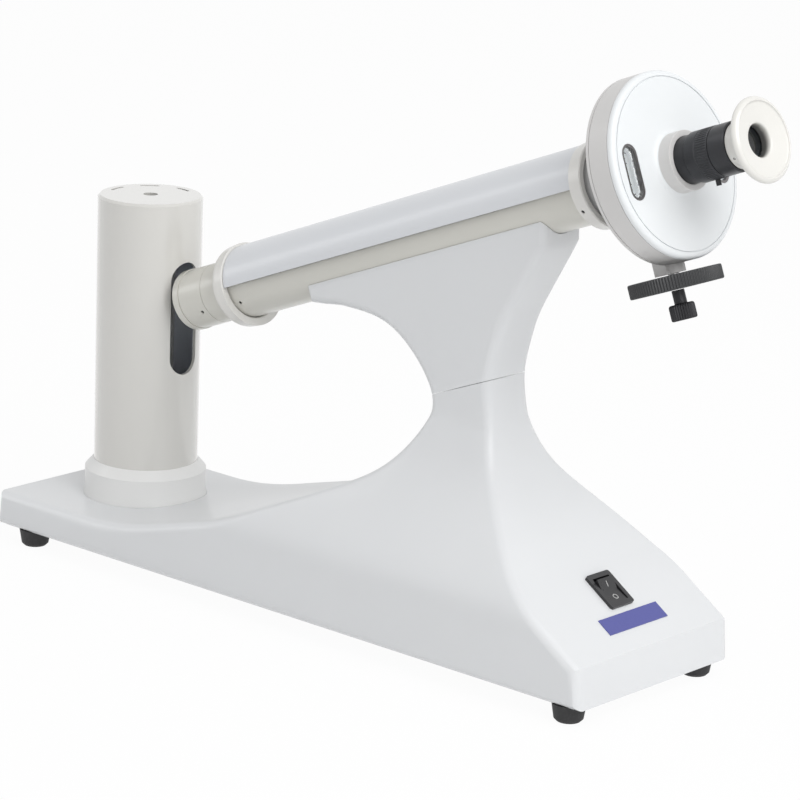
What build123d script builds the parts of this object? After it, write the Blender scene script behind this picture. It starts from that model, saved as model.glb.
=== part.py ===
# Disc polarimeter: inclined optical tube on a cast stand, lamp column behind, dial and eyepiece in front.
from build123d import *
import math
import os

os.makedirs("parts", exist_ok=True)


# Shared clearances, in millimetres
SEAT = 0.3
RUN = 0.06
SLIDE = 0.1

# Line of sight: tilt, and the point on it that all distances along it are counted from
TILT = 21.5
SIGHT_X = 7.75
SIGHT_Z = 218.8
COS_T = math.cos(math.radians(TILT))
SIN_T = math.sin(math.radians(TILT))
SIGHT_DIR = (COS_T, 0, SIN_T)
SIGHT_UP = (-SIN_T, 0, COS_T)


# Point at a distance along the line of sight and a height square to it
def sight_point(along, height=0.0, side=0.0):
    x = SIGHT_X + along * COS_T - height * SIN_T
    z = SIGHT_Z + along * SIN_T + height * COS_T
    return (x, side, z)


# Plane that holds the line of sight: first axis along it, second axis square to it
def sight_plane():
    return Plane(origin=sight_point(0), x_dir=SIGHT_DIR, z_dir=(0, -1, 0))


# Plane square to the line of sight: first axis to the far side, second axis up
def cross_plane(along):
    return Plane(origin=sight_point(along), x_dir=(0, 1, 0), z_dir=SIGHT_DIR)


SIGHT_AXIS = Axis(sight_point(0), SIGHT_DIR)


# Eyecup sizes set the front end of the whole instrument
CUP_RIM_AT = 257.5
CUP_RIM_R = 22.6
CUP_EDGE_R = 2.5
FRONT_END_X = sight_point(CUP_RIM_AT - CUP_EDGE_R, -CUP_RIM_R + CUP_EDGE_R)[0] + CUP_EDGE_R

# Base casting
FOOT_H = 10.0
LEVEL_Z = 8.8
GLAND_OUT = 4.3
BASE_REAR_X = GLAND_OUT - FRONT_END_X
BASE_FRONT_X = 198.2
BASE_HALF_W = 66.4
BASE_DRAFT = 2.0
DECK_Z = LEVEL_Z + 21.8
FRONT_LIP_Z = LEVEL_Z + 24.2
WALL = 4.0
PLATE_T = 2.0
SLOPE_TOP_X = 150.7
SLOPE_TOP_Z = LEVEL_Z + 54.4
WAIST_FRONT_X = 88.2
WAIST_REAR_X = 46.4
WAIST_Z = LEVEL_Z + 150.0
WAIST_REAR_Z = LEVEL_Z + 129.0
SADDLE_HALF_W = 16.6
WAIST_HALF_W = 17.4

# Saddle end positions along the line of sight
SADDLE_REAR = -66.0
SADDLE_FRONT = 118.6
SADDLE_TOP = -7.6
TUBE_R = 19.0
TUBE_BORE_R = 16.0

# Seam between the two castings runs parallel to the line of sight
SEAM_DROP = 85.6
SEAM_GAP = 0.25
PAD_T = 10.0

# Concave front of the stand, from the sloping panel up to the tube
FRONT_CURVE = [
    (SLOPE_TOP_X, SLOPE_TOP_Z),
    (131.8, LEVEL_Z + 70.0),
    (114.2, LEVEL_Z + 86.0),
    (100.4, LEVEL_Z + 102.0),
    (93.0, LEVEL_Z + 118.0),
    (89.6, LEVEL_Z + 134.0),
    (WAIST_FRONT_X, WAIST_Z),
    (91.0, LEVEL_Z + 166.0),
    (96.2, LEVEL_Z + 182.0),
    (104.4, LEVEL_Z + 198.0),
    (113.4, LEVEL_Z + 214.0),
    (121.4, LEVEL_Z + 229.0),
]
# Rear of the stand, from the flat deck up round the large opening to the saddle
REAR_CURVE = [
    (-178.0, DECK_Z),
    (-140.0, LEVEL_Z + 25.6),
    (-104.0, LEVEL_Z + 34.8),
    (-72.0, LEVEL_Z + 43.8),
    (-43.0, LEVEL_Z + 55.6),
    (-20.0, LEVEL_Z + 66.0),
    (3.4, LEVEL_Z + 77.0),
    (25.2, LEVEL_Z + 90.0),
    (40.0, LEVEL_Z + 109.0),
    (WAIST_REAR_X, WAIST_REAR_Z),
    (40.4, LEVEL_Z + 142.0),
    (28.2, LEVEL_Z + 155.0),
    (14.6, LEVEL_Z + 164.0),
    (-2.8, LEVEL_Z + 168.6),
    (-20.0, LEVEL_Z + 169.4),
    (-36.0, LEVEL_Z + 168.0),
]
# Flared sides: half width against height, wide foot to narrow waist
SIDE_STRAIGHT_Z = LEVEL_Z + 38.0
FLARE_W = BASE_HALF_W - WAIST_HALF_W
FLARE_SHARES = [
    (0.9020408163, 54.0),
    (0.6816326531, 70.0),
    (0.4163265306, 86.0),
    (0.1877551020, 102.0),
    (0.0530612245, 118.0),
]
SIDE_CURVE = [
    (BASE_HALF_W, SIDE_STRAIGHT_Z),
    *[(WAIST_HALF_W + FLARE_W * share, LEVEL_Z + height) for share, height in FLARE_SHARES],
    (WAIST_HALF_W, LEVEL_Z + 138.0),
]
STAND_TOP_Z = LEVEL_Z + 262.0
EDGE_R = 6.0
STAND_SPAN = BASE_HALF_W + 10.0
FLANK_SPAN = FRONT_END_X + 40.0


# Points of a curve moved square to it, to the left for a positive distance
def shifted(points, distance):
    moved = []
    for index, (x, z) in enumerate(points):
        x_back, z_back = points[max(index - 1, 0)]
        x_next, z_next = points[min(index + 1, len(points) - 1)]
        length = math.hypot(x_next - x_back, z_next - z_back)
        side_x = -(z_next - z_back) / length
        side_z = (x_next - x_back) / length
        moved.append((x + side_x * distance, z + side_z * distance))
    return moved


# Side view of both castings in one closed outline, down to the foot line
def stand_outline(inset=0.0):
    with BuildSketch(Plane.XZ.offset(-STAND_SPAN)) as outline:
        with BuildLine():
            front = Spline(shifted(FRONT_CURVE, inset), tangents=[(-0.83, 0.56), (0.42, 0.9)])
            rear = Spline(shifted(REAR_CURVE, -inset), tangents=[(1, 0), (-1, -0.15)])
            rear_foot = (BASE_REAR_X + inset, FOOT_H + inset)
            front_foot = (BASE_FRONT_X - inset, FOOT_H + inset)
            rear_deck = (BASE_REAR_X + BASE_DRAFT + inset, DECK_Z - inset)
            front_lip = (BASE_FRONT_X - BASE_DRAFT - inset, FRONT_LIP_Z - inset / 2)
            saddle_heel = sight_point(SADDLE_REAR + inset, -TUBE_R - 1.0)
            saddle_back = sight_point(SADDLE_REAR + inset, SADDLE_TOP - inset)
            saddle_nose = sight_point(SADDLE_FRONT - inset, SADDLE_TOP - inset)
            Line(rear_foot, front_foot)
            Line(front_foot, front_lip)
            Line(front_lip, front @ 0)
            Line(front @ 1, (saddle_nose[0], saddle_nose[2]))
            Line((saddle_nose[0], saddle_nose[2]), (saddle_back[0], saddle_back[2]))
            Line((saddle_back[0], saddle_back[2]), (saddle_heel[0], saddle_heel[2]))
            Line((saddle_heel[0], saddle_heel[2]), rear @ 1)
            Line(rear @ 0, rear_deck)
            Line(rear_deck, rear_foot)
        make_face()
    return outline.sketch


# Front view of both castings: straight foot, flared flanks, slim waist and saddle
def flank_outline(inset=0.0):
    curve = [(half - inset, height - inset / 2) for half, height in SIDE_CURVE]
    foot_right = (BASE_HALF_W - inset, FOOT_H)
    top_right = (SADDLE_HALF_W - inset, STAND_TOP_Z)
    with BuildSketch(Plane.YZ.offset(-FLANK_SPAN)) as outline:
        with BuildLine():
            right = Spline(curve, tangents=[(0, 1), (-0.02, 1)])
            Line(foot_right, right @ 0)
            Line(right @ 1, top_right)
            Line(top_right, (0, STAND_TOP_Z))
            Line((0, STAND_TOP_Z), (0, FOOT_H))
            Line((0, FOOT_H), foot_right)
        make_face()
        mirror(about=Plane.YZ)
    return outline.sketch


# Plane of the seam between base and saddle, shifted by a part of the seam's gap
def seam_plane(shift):
    return Plane(origin=sight_point(0, -SEAM_DROP + shift), x_dir=SIGHT_DIR, z_dir=SIGHT_UP)


# Side view of the zone over the seam, as wide along the line of sight as the saddle needs
def upper_zone(shift):
    low = -SEAM_DROP + shift
    with BuildSketch(sight_plane().offset(-STAND_SPAN)) as zone:
        with BuildLine():
            Polyline(
                (SADDLE_REAR - TUBE_R, low),
                (SADDLE_FRONT + SEAM_DROP, low),
                (SADDLE_FRONT + SEAM_DROP, SEAM_DROP),
                (SADDLE_REAR - TUBE_R, SEAM_DROP),
                close=True,
            )
        make_face()
    return zone.sketch


# Edges of the castings that run along a flank, which get the rounded corner
def flank_edges(edges):
    chosen = []
    for edge in edges:
        box = edge.bounding_box()
        lies_across = box.size.Y > SADDLE_HALF_W and box.size.X < 1
        at_foot = box.max.Z < LEVEL_Z + 1
        flank_join = edge.geom_type == GeomType.LINE and box.size.Z < 1 and box.min.Z > DECK_Z + 1
        if not (lies_across or at_foot or flank_join):
            chosen.append(edge)
    return chosen


# Feet, their screws' bosses and the closing plate
FOOT_X_FRONT = 184.0
FOOT_X_REAR = -228.0
FOOT_INSET = 11.8
FOOT_Y = BASE_HALF_W - FOOT_INSET
FOOT_TOP_R = 9.4
FOOT_BOTTOM_R = 8.0
FOOT_EDGE_R = 1.5
FOOT_BORE_R = 2.2
FOOT_COUNTER_R = 4.4
FOOT_COUNTER_D = 3.6
BOSS_R = 8.6
TAP_R = 1.7
FOOT_SPOTS = {
    "foot_front_near": (FOOT_X_FRONT, -FOOT_Y),
    "foot_front_far": (FOOT_X_FRONT, FOOT_Y),
    "foot_rear_near": (FOOT_X_REAR, -FOOT_Y),
    "foot_rear_far": (FOOT_X_REAR, FOOT_Y),
}

# Lamp column, its collar and what stands inside
COLUMN_X = -190.7
COLUMN_R = 31.0
COLUMN_T = 2.0
COLUMN_FOOT_Z = LEVEL_Z + 43.5
COLUMN_TOP_Z = LEVEL_Z + 201.2
CAP_T = 2.6
CAP_EDGE_R = 1.4
CAP_SKIRT = 7.0
CAP_HOLE_R = 4.3
VENT_COUNT = 3
VENT_R = 26.6
VENT_W = 2.0
VENT_ARC = 22.0
VENT_TURN = 84.0
VENT_SPREAD = 106.0
SLOT_W = 21.0
SLOT_FOOT_Z = LEVEL_Z + 100.4
SLOT_TOP_Z = LEVEL_Z + 168.0
COLLAR_R = 36.2
COLLAR_FOOT_R = 36.9
COLLAR_FOOT_T = 1.2
COLLAR_SHOULDER_Z = LEVEL_Z + 38.0
SPIGOT_TOP_Z = LEVEL_Z + 58.0
SPIGOT_T = 3.0
SOCKET_R = 16.0
SOCKET_FLANGE_R = 22.0
SOCKET_FLANGE_T = 4.0
SOCKET_TOP_Z = LEVEL_Z + 66.0
LAMP_CAP_R = 12.6
LAMP_CAP_D = 24.0
LAMP_R = 15.5
LAMP_TOP_Z = LEVEL_Z + 182.0

# Power entry on the hidden rear face
GLAND_Y = 30.0
GLAND_Z = LEVEL_Z + 11.0
GLAND_FLANGE_R = 7.0
GLAND_BODY_R = 5.0
GLAND_BORE_R = 2.6
GLAND_SEAT = 2.2
GLAND_IN = 12.0

# Switch and plate on the sloping panel, measured up the slope from the front lip
SLOPE_LEN = math.hypot(BASE_FRONT_X - BASE_DRAFT - SLOPE_TOP_X, SLOPE_TOP_Z - FRONT_LIP_Z)
SLOPE_DIR = ((SLOPE_TOP_X - BASE_FRONT_X + BASE_DRAFT) / SLOPE_LEN, 0, (SLOPE_TOP_Z - FRONT_LIP_Z) / SLOPE_LEN)
SLOPE_OUT = (SLOPE_DIR[2], 0, -SLOPE_DIR[0])
SWITCH_UP = 38.7
BEZEL_W = 19.0
BEZEL_L = 23.4
BEZEL_T = 1.8
BEZEL_CORNER_R = 1.6
SWITCH_BODY_W = 16.2
SWITCH_BODY_L = 20.2
SWITCH_BODY_D = 14.0
SWITCH_WALL = 1.2
ROCKER_W = 12.6
ROCKER_L = 15.2
ROCKER_GAP = 0.5
ROCKER_TILT = 9.0
ROCKER_PIVOT_D = 4.0
ROCKER_CREST = 2.6
ROCKER_DIP = 0.8
PLATE_UP = 18.0
LABEL_W = 49.0
LABEL_L = 10.6
LABEL_T = 0.5


# Plane lying on the sloping panel: first axis across it, second axis up the slope
def slope_plane(up, height=0.0):
    lip_x = BASE_FRONT_X - BASE_DRAFT
    x = lip_x + SLOPE_DIR[0] * up + SLOPE_OUT[0] * height
    z = FRONT_LIP_Z + SLOPE_DIR[2] * up + SLOPE_OUT[2] * height
    return Plane(origin=(x, 0, z), x_dir=(0, 1, 0), z_dir=SLOPE_OUT)


# Upright plane through the lamp column's axis: radius and height
def column_plane():
    return Plane(origin=(COLUMN_X, 0, 0), x_dir=(1, 0, 0), z_dir=(0, -1, 0))


COLUMN_AXIS = Axis((COLUMN_X, 0, 0), (0, 0, 1))

# Bolts through the seam
BOLT_REAR = -9.0
BOLT_FRONT = 9.0
BOLT_R = 3.0
BOLT_HEAD_R = 5.0
BOLT_HEAD_H = 5.0
BOLT_IN = 14.0
SEAM_MID = 30.0


# Half section for a turned piece, from its corner points in order
def section(plane, points):
    with BuildSketch(plane) as cut:
        with BuildLine():
            Polyline(*points, close=True)
        make_face()
    return cut.sketch


# Half section of a plain ring on the line of sight
def ring_section(start, end, inner, outer):
    return section(sight_plane(), [(start, inner), (end, inner), (end, outer), (start, outer)])


# Inner shape shared by both castings
with BuildPart() as stand_core:
    extrude(stand_outline(WALL), amount=2 * STAND_SPAN, dir=(0, -1, 0))
    extrude(flank_outline(WALL), amount=2 * FLANK_SPAN, dir=(1, 0, 0), mode=Mode.INTERSECT)

with BuildPart() as base_core:
    add(stand_core.part)
    extrude(upper_zone(-PAD_T), amount=2 * STAND_SPAN, dir=(0, -1, 0), mode=Mode.SUBTRACT)
    with BuildSketch(Plane.XY.offset(FOOT_H)):
        with Locations(((BASE_REAR_X + BASE_FRONT_X) / 2, 0)):
            Rectangle(BASE_FRONT_X - BASE_REAR_X - 2 * WALL - BASE_DRAFT, 2 * BASE_HALF_W - 2 * WALL)
    extrude(amount=WALL + 1)

# Base casting: shell with the collar's seat, the switch opening, bosses and the seam pad
with BuildPart() as base_casting:
    extrude(stand_outline(), amount=2 * STAND_SPAN, dir=(0, -1, 0))
    extrude(flank_outline(), amount=2 * FLANK_SPAN, dir=(1, 0, 0), mode=Mode.INTERSECT)
    fillet(flank_edges(base_casting.edges()), radius=EDGE_R)
    extrude(upper_zone(-SEAM_GAP), amount=2 * STAND_SPAN, dir=(0, -1, 0), mode=Mode.SUBTRACT)
    add(base_core.part, mode=Mode.SUBTRACT)
    with BuildSketch(Plane.XY.offset(FOOT_H + PLATE_T)):
        with Locations(*FOOT_SPOTS.values()):
            Circle(BOSS_R)
    extrude(amount=DECK_Z - WALL - FOOT_H - PLATE_T + 1)
    with BuildSketch(Plane.XY.offset(FOOT_H)):
        with Locations(*FOOT_SPOTS.values()):
            Circle(TAP_R)
    extrude(amount=PLATE_T + WALL * 2, mode=Mode.SUBTRACT)
    with BuildSketch(Plane.XY.offset(DECK_Z)):
        with Locations((COLUMN_X, 0)):
            Circle(COLLAR_FOOT_R + SEAT)
    extrude(amount=COLLAR_R, mode=Mode.SUBTRACT)
    with BuildSketch(Plane.XY.offset(DECK_Z)):
        with Locations((COLUMN_X, 0)):
            Circle(GLAND_BODY_R)
    extrude(amount=-2 * WALL, mode=Mode.SUBTRACT)
    with BuildSketch(slope_plane(SWITCH_UP, WALL)):
        Rectangle(SWITCH_BODY_W + 2 * SEAT, SWITCH_BODY_L + 2 * SEAT)
    extrude(amount=-4 * WALL, mode=Mode.SUBTRACT)
    with BuildSketch(Plane.YZ.offset(BASE_REAR_X + GLAND_SEAT)):
        with Locations((GLAND_Y, GLAND_Z)):
            Circle(GLAND_FLANGE_R + SEAT)
    extrude(amount=-WALL, mode=Mode.SUBTRACT)
    with BuildSketch(Plane.YZ.offset(BASE_REAR_X - WALL)):
        with Locations((GLAND_Y, GLAND_Z)):
            Circle(GLAND_BODY_R + SLIDE)
    extrude(amount=3 * WALL, mode=Mode.SUBTRACT)
    with BuildSketch(seam_plane(0)):
        with Locations((SEAM_MID + BOLT_REAR, 0), (SEAM_MID + BOLT_FRONT, 0)):
            Circle(BOLT_R + SEAT)
    extrude(amount=-2 * PAD_T, mode=Mode.SUBTRACT)
base_casting.part.label = "base_casting"
export_step(base_casting.part, "parts/base_casting.step")

# Plate that closes the base from below
with BuildPart() as bottom_plate:
    with BuildSketch(Plane.XY.offset(FOOT_H)):
        with Locations(((BASE_REAR_X + BASE_FRONT_X) / 2, 0)):
            plate_len = BASE_FRONT_X - BASE_REAR_X - 2 * WALL - BASE_DRAFT - 2 * SEAT
            Rectangle(plate_len, 2 * (BASE_HALF_W - WALL - SEAT))
        with Locations(*FOOT_SPOTS.values()):
            Circle(FOOT_BORE_R, mode=Mode.SUBTRACT)
    extrude(amount=PLATE_T)
bottom_plate.part.label = "bottom_plate"
export_step(bottom_plate.part, "parts/bottom_plate.step")

# Four tapered rubber feet with a sunk screw hole
for foot_name, (foot_x, foot_y) in FOOT_SPOTS.items():
    foot_plane = Plane(origin=(foot_x, foot_y, 0), x_dir=(1, 0, 0), z_dir=(0, -1, 0))
    with BuildPart() as foot:
        add(section(foot_plane, [
            (FOOT_COUNTER_R, 0),
            (FOOT_BOTTOM_R - FOOT_EDGE_R, 0),
            (FOOT_BOTTOM_R, FOOT_EDGE_R),
            (FOOT_TOP_R, FOOT_H),
            (FOOT_BORE_R, FOOT_H),
            (FOOT_BORE_R, FOOT_COUNTER_D),
            (FOOT_COUNTER_R, FOOT_COUNTER_D),
        ]))
        revolve(axis=Axis((foot_x, foot_y, 0), (0, 0, 1)))
    foot.part.label = foot_name
    export_step(foot.part, f"parts/{foot_name}.step")

# Saddle casting: upper stand that carries the tube, hollow from the seam side
with BuildPart() as saddle_core:
    add(stand_core.part)
    extrude(upper_zone(PAD_T), amount=2 * STAND_SPAN, dir=(0, -1, 0), mode=Mode.INTERSECT)
    add(ring_section(SADDLE_REAR - TUBE_R, SADDLE_FRONT + TUBE_R, 0, TUBE_R + 2 * WALL))
    revolve(axis=SIGHT_AXIS, mode=Mode.SUBTRACT)

with BuildPart() as saddle_bracket:
    extrude(stand_outline(), amount=2 * STAND_SPAN, dir=(0, -1, 0))
    extrude(flank_outline(), amount=2 * FLANK_SPAN, dir=(1, 0, 0), mode=Mode.INTERSECT)
    fillet(flank_edges(saddle_bracket.edges()), radius=EDGE_R)
    extrude(upper_zone(0), amount=2 * STAND_SPAN, dir=(0, -1, 0), mode=Mode.INTERSECT)
    add(saddle_core.part, mode=Mode.SUBTRACT)
    add(ring_section(SADDLE_REAR - TUBE_R, SADDLE_FRONT + TUBE_R, 0, TUBE_R + SEAT))
    revolve(axis=SIGHT_AXIS, mode=Mode.SUBTRACT)
    with BuildSketch(seam_plane(0)):
        with Locations((SEAM_MID + BOLT_REAR, 0), (SEAM_MID + BOLT_FRONT, 0)):
            Circle(BOLT_R + SLIDE)
    extrude(amount=BOLT_IN + SEAT, mode=Mode.SUBTRACT)
saddle_bracket.part.label = "saddle_bracket"
export_step(saddle_bracket.part, "parts/saddle_bracket.step")

# Two bolts that hold the saddle on the base from inside
for bolt_name, bolt_at in (("seam_bolt_rear", BOLT_REAR), ("seam_bolt_front", BOLT_FRONT)):
    with BuildPart() as bolt:
        with BuildSketch(seam_plane(-PAD_T - BOLT_HEAD_H)):
            with Locations((SEAM_MID + bolt_at, 0)):
                RegularPolygon(radius=BOLT_HEAD_R, side_count=6)
        extrude(amount=BOLT_HEAD_H)
        with BuildSketch(seam_plane(-PAD_T)):
            with Locations((SEAM_MID + bolt_at, 0)):
                Circle(BOLT_R)
        extrude(amount=PAD_T + BOLT_IN)
    bolt.part.label = bolt_name
    export_step(bolt.part, f"parts/{bolt_name}.step")

# Collar on the deck: flared foot, straight wall, sloped shoulder and the column's spigot
with BuildPart() as lamp_collar:
    spigot_r = COLUMN_R - COLUMN_T - SLIDE
    add(section(column_plane(), [
        (spigot_r - SPIGOT_T, DECK_Z),
        (COLLAR_FOOT_R, DECK_Z),
        (COLLAR_FOOT_R, DECK_Z + COLLAR_FOOT_T),
        (COLLAR_R, DECK_Z + 2 * COLLAR_FOOT_T),
        (COLLAR_R, COLLAR_SHOULDER_Z),
        (COLUMN_R + SEAT, COLUMN_FOOT_Z),
        (spigot_r, COLUMN_FOOT_Z),
        (spigot_r, SPIGOT_TOP_Z),
        (spigot_r - SPIGOT_T, SPIGOT_TOP_Z),
    ]))
    revolve(axis=COLUMN_AXIS)
lamp_collar.part.label = "lamp_collar"
export_step(lamp_collar.part, "parts/lamp_collar.step")

# Lamp column: thin tube with the light slot that faces the optical tube
with BuildPart() as column_shell:
    add(section(column_plane(), [
        (COLUMN_R - COLUMN_T, COLUMN_FOOT_Z),
        (COLUMN_R, COLUMN_FOOT_Z),
        (COLUMN_R, COLUMN_TOP_Z),
        (COLUMN_R - COLUMN_T, COLUMN_TOP_Z),
    ]))
    revolve(axis=COLUMN_AXIS)
    with BuildSketch(Plane.YZ.offset(COLUMN_X)):
        with Locations((0, (SLOT_FOOT_Z + SLOT_TOP_Z) / 2)):
            SlotOverall(SLOT_TOP_Z - SLOT_FOOT_Z, SLOT_W, rotation=90)
    extrude(amount=COLUMN_R + COLUMN_T, mode=Mode.SUBTRACT)
column_shell.part.label = "column_shell"
export_step(column_shell.part, "parts/column_shell.step")

# Cap of the column with its skirt, centre hole and curved vents
with BuildPart() as column_cap:
    skirt_r = COLUMN_R - COLUMN_T - SLIDE
    cap_top = COLUMN_TOP_Z + CAP_T
    add(section(column_plane(), [
        (CAP_HOLE_R, COLUMN_TOP_Z),
        (skirt_r - COLUMN_T, COLUMN_TOP_Z),
        (skirt_r - COLUMN_T, COLUMN_TOP_Z - CAP_SKIRT),
        (skirt_r, COLUMN_TOP_Z - CAP_SKIRT),
        (skirt_r, COLUMN_TOP_Z),
        (COLUMN_R, COLUMN_TOP_Z),
        (COLUMN_R, cap_top - CAP_EDGE_R),
        (COLUMN_R - CAP_EDGE_R, cap_top),
        (CAP_HOLE_R, cap_top),
    ]))
    revolve(axis=COLUMN_AXIS)
    with BuildSketch(Plane.XY.offset(COLUMN_TOP_Z)):
        with Locations((COLUMN_X, 0)):
            with PolarLocations(0, VENT_COUNT, VENT_TURN, VENT_SPREAD, endpoint=True):
                SlotArc(
                    CenterArc((0, 0), VENT_R - VENT_W, -VENT_ARC / 2, VENT_ARC, mode=Mode.PRIVATE),
                    VENT_W,
                )
    extrude(amount=CAP_T, mode=Mode.SUBTRACT)
column_cap.part.label = "column_cap"
export_step(column_cap.part, "parts/column_cap.step")

# Lamp socket that stands on the deck inside the collar
with BuildPart() as lamp_socket:
    add(section(column_plane(), [
        (0, DECK_Z),
        (SOCKET_FLANGE_R, DECK_Z),
        (SOCKET_FLANGE_R, DECK_Z + SOCKET_FLANGE_T),
        (SOCKET_R, DECK_Z + 2 * SOCKET_FLANGE_T),
        (SOCKET_R, SOCKET_TOP_Z),
        (LAMP_CAP_R + SEAT, SOCKET_TOP_Z),
        (LAMP_CAP_R + SEAT, SOCKET_TOP_Z - LAMP_CAP_D),
        (0, SOCKET_TOP_Z - LAMP_CAP_D),
    ]))
    revolve(axis=COLUMN_AXIS)
lamp_socket.part.label = "lamp_socket"
export_step(lamp_socket.part, "parts/lamp_socket.step")

# Sodium lamp: cap in the socket and a domed envelope
with BuildPart() as sodium_lamp:
    with BuildSketch(column_plane()):
        with BuildLine():
            neck_z = SOCKET_TOP_Z + LAMP_R / 2
            Polyline(
                (0, LAMP_TOP_Z),
                (0, SOCKET_TOP_Z - LAMP_CAP_D),
                (LAMP_CAP_R, SOCKET_TOP_Z - LAMP_CAP_D),
                (LAMP_CAP_R, SOCKET_TOP_Z),
                (LAMP_R, neck_z),
                (LAMP_R, LAMP_TOP_Z - LAMP_R),
            )
            CenterArc((0, LAMP_TOP_Z - LAMP_R), LAMP_R, 0, 90)
        make_face()
    revolve(axis=COLUMN_AXIS)
sodium_lamp.part.label = "sodium_lamp"
export_step(sodium_lamp.part, "parts/sodium_lamp.step")

# Ballast that feeds the lamp: laminated core with two windows, and its coil
BALLAST_X = 110.0
CORE_L = 66.0
CORE_W = 48.0
CORE_H = 44.0
CORE_LEG = 11.0
COIL_OUT = 9.0
core_mid_z = FOOT_H + PLATE_T + CORE_H / 2
window_w = (CORE_L - 4 * CORE_LEG) / 2
with BuildPart() as ballast_core:
    with BuildSketch(Plane.XZ.offset(-CORE_W / 2)):
        with Locations((BALLAST_X, core_mid_z)):
            Rectangle(CORE_L, CORE_H)
            with Locations((CORE_LEG + window_w / 2, 0), (-CORE_LEG - window_w / 2, 0)):
                Rectangle(window_w, CORE_H - 2 * CORE_LEG, mode=Mode.SUBTRACT)
    extrude(amount=CORE_W)
ballast_core.part.label = "ballast_core"
export_step(ballast_core.part, "parts/ballast_core.step")

with BuildPart() as ballast_coil:
    coil_h = CORE_H - 2 * CORE_LEG - 2 * SEAT
    with BuildSketch(Plane.XY.offset(core_mid_z - coil_h / 2)):
        with Locations((BALLAST_X, 0)):
            Rectangle(2 * (CORE_LEG + window_w - SEAT), CORE_W + 2 * COIL_OUT)
            Rectangle(2 * (CORE_LEG + SEAT), CORE_W + 2 * SEAT, mode=Mode.SUBTRACT)
    extrude(amount=coil_h)
ballast_coil.part.label = "ballast_coil"
export_step(ballast_coil.part, "parts/ballast_coil.step")

# Cord gland on the rear face, empty
with BuildPart() as cord_gland:
    with BuildSketch(Plane.YZ.offset(BASE_REAR_X - GLAND_OUT)):
        with Locations((GLAND_Y, GLAND_Z)):
            Circle(GLAND_FLANGE_R)
    extrude(amount=GLAND_OUT + GLAND_SEAT)
    with BuildSketch(Plane.YZ.offset(BASE_REAR_X + GLAND_SEAT)):
        with Locations((GLAND_Y, GLAND_Z)):
            Circle(GLAND_BODY_R)
    extrude(amount=GLAND_IN)
    with BuildSketch(Plane.YZ.offset(BASE_REAR_X - GLAND_OUT)):
        with Locations((GLAND_Y, GLAND_Z)):
            Circle(GLAND_BORE_R)
    extrude(amount=GLAND_OUT + GLAND_SEAT + GLAND_IN, mode=Mode.SUBTRACT)
cord_gland.part.label = "cord_gland"
export_step(cord_gland.part, "parts/cord_gland.step")

# Switch housing: rounded bezel on the slope with a hollow body behind it
with BuildPart() as switch_bezel:
    with BuildSketch(slope_plane(SWITCH_UP)):
        RectangleRounded(BEZEL_W, BEZEL_L, BEZEL_CORNER_R)
    extrude(amount=BEZEL_T)
    with BuildSketch(slope_plane(SWITCH_UP)):
        Rectangle(SWITCH_BODY_W, SWITCH_BODY_L)
    extrude(amount=-SWITCH_BODY_D)
    with BuildSketch(slope_plane(SWITCH_UP, BEZEL_T)):
        Rectangle(ROCKER_W + 2 * ROCKER_GAP, ROCKER_L + 4 * ROCKER_GAP)
    extrude(amount=-BEZEL_T - SWITCH_BODY_D + SWITCH_WALL, mode=Mode.SUBTRACT)
switch_bezel.part.label = "switch_bezel"
export_step(switch_bezel.part, "parts/switch_bezel.step")

# Rocker, tilted to its rest with the lower end pressed in
with BuildPart() as switch_rocker:
    slope = slope_plane(SWITCH_UP)
    pivot = slope.origin - slope.z_dir * ROCKER_PIVOT_D
    tilt = math.radians(ROCKER_TILT)
    rocker_dir = slope.y_dir * math.cos(tilt) + slope.z_dir * math.sin(tilt)
    rocker_side = Plane(origin=pivot, x_dir=rocker_dir, z_dir=(0, 1, 0))
    end = ROCKER_L / 2
    with BuildSketch(rocker_side.offset(-ROCKER_W / 2)):
        with BuildLine():
            Polyline(
                (-end, ROCKER_PIVOT_D + ROCKER_CREST),
                (0, ROCKER_PIVOT_D + ROCKER_DIP),
                (end, ROCKER_PIVOT_D + ROCKER_CREST),
                (end, ROCKER_PIVOT_D / 2),
                (end / 2, -ROCKER_PIVOT_D / 2),
                (-end / 2, -ROCKER_PIVOT_D / 2),
                (-end, ROCKER_PIVOT_D / 2),
                close=True,
            )
        make_face()
    extrude(amount=ROCKER_W)
switch_rocker.part.label = "switch_rocker"
export_step(switch_rocker.part, "parts/switch_rocker.step")

# Blank name plate on the slope
with BuildPart() as name_plate:
    with BuildSketch(slope_plane(PLATE_UP)):
        Rectangle(LABEL_W, LABEL_L)
    extrude(amount=LABEL_T)
name_plate.part.label = "name_plate"
export_step(name_plate.part, "parts/name_plate.step")

# Lengths along the line of sight, from the lamp end to the dial end
FLANGE_AT = -172.7
BARREL_AT = -167.4
SLEEVE_AT = -148.4
CUP_AT = -134.0
MOUTH_AT = -122.8
LID_REAR = -122.4
TROUGH_REAR = -114.0
TROUGH_FRONT = 112.0
LID_FRONT = 144.8
RING_AT = 145.2
NECK_AT = 153.8
DISC_AT = 181.2
FACE_AT = 199.0
BOSS_END = 207.5

# Radii of the lamp-side barrels and their optics
BARREL_R = 17.5
BARREL_BORE_R = 15.0
FLANGE_R = 17.9
FLANGE_BORE_R = 12.5
LENS_R = BARREL_BORE_R - SEAT
CUP_R = 24.4
CUP_BORE_R = TUBE_R + SEAT
CUP_MOUTH_R = 20.2
CUP_ROUND = 5.0
CUP_FLOOR = 3.0
SCREW_R = 1.1
SCREW_TURN = 30.0

# Lid: half shell, its end webs and the stub pins it turns on
LID_R = 23.0
LID_T = 1.6
LID_EDGE = 0.9
LID_WEB_T = 2.0
PIN_R = 0.75
PIN_OUT = 2.4
PIN_SIDE = 21.8
PIN_UP = 2.0

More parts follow.
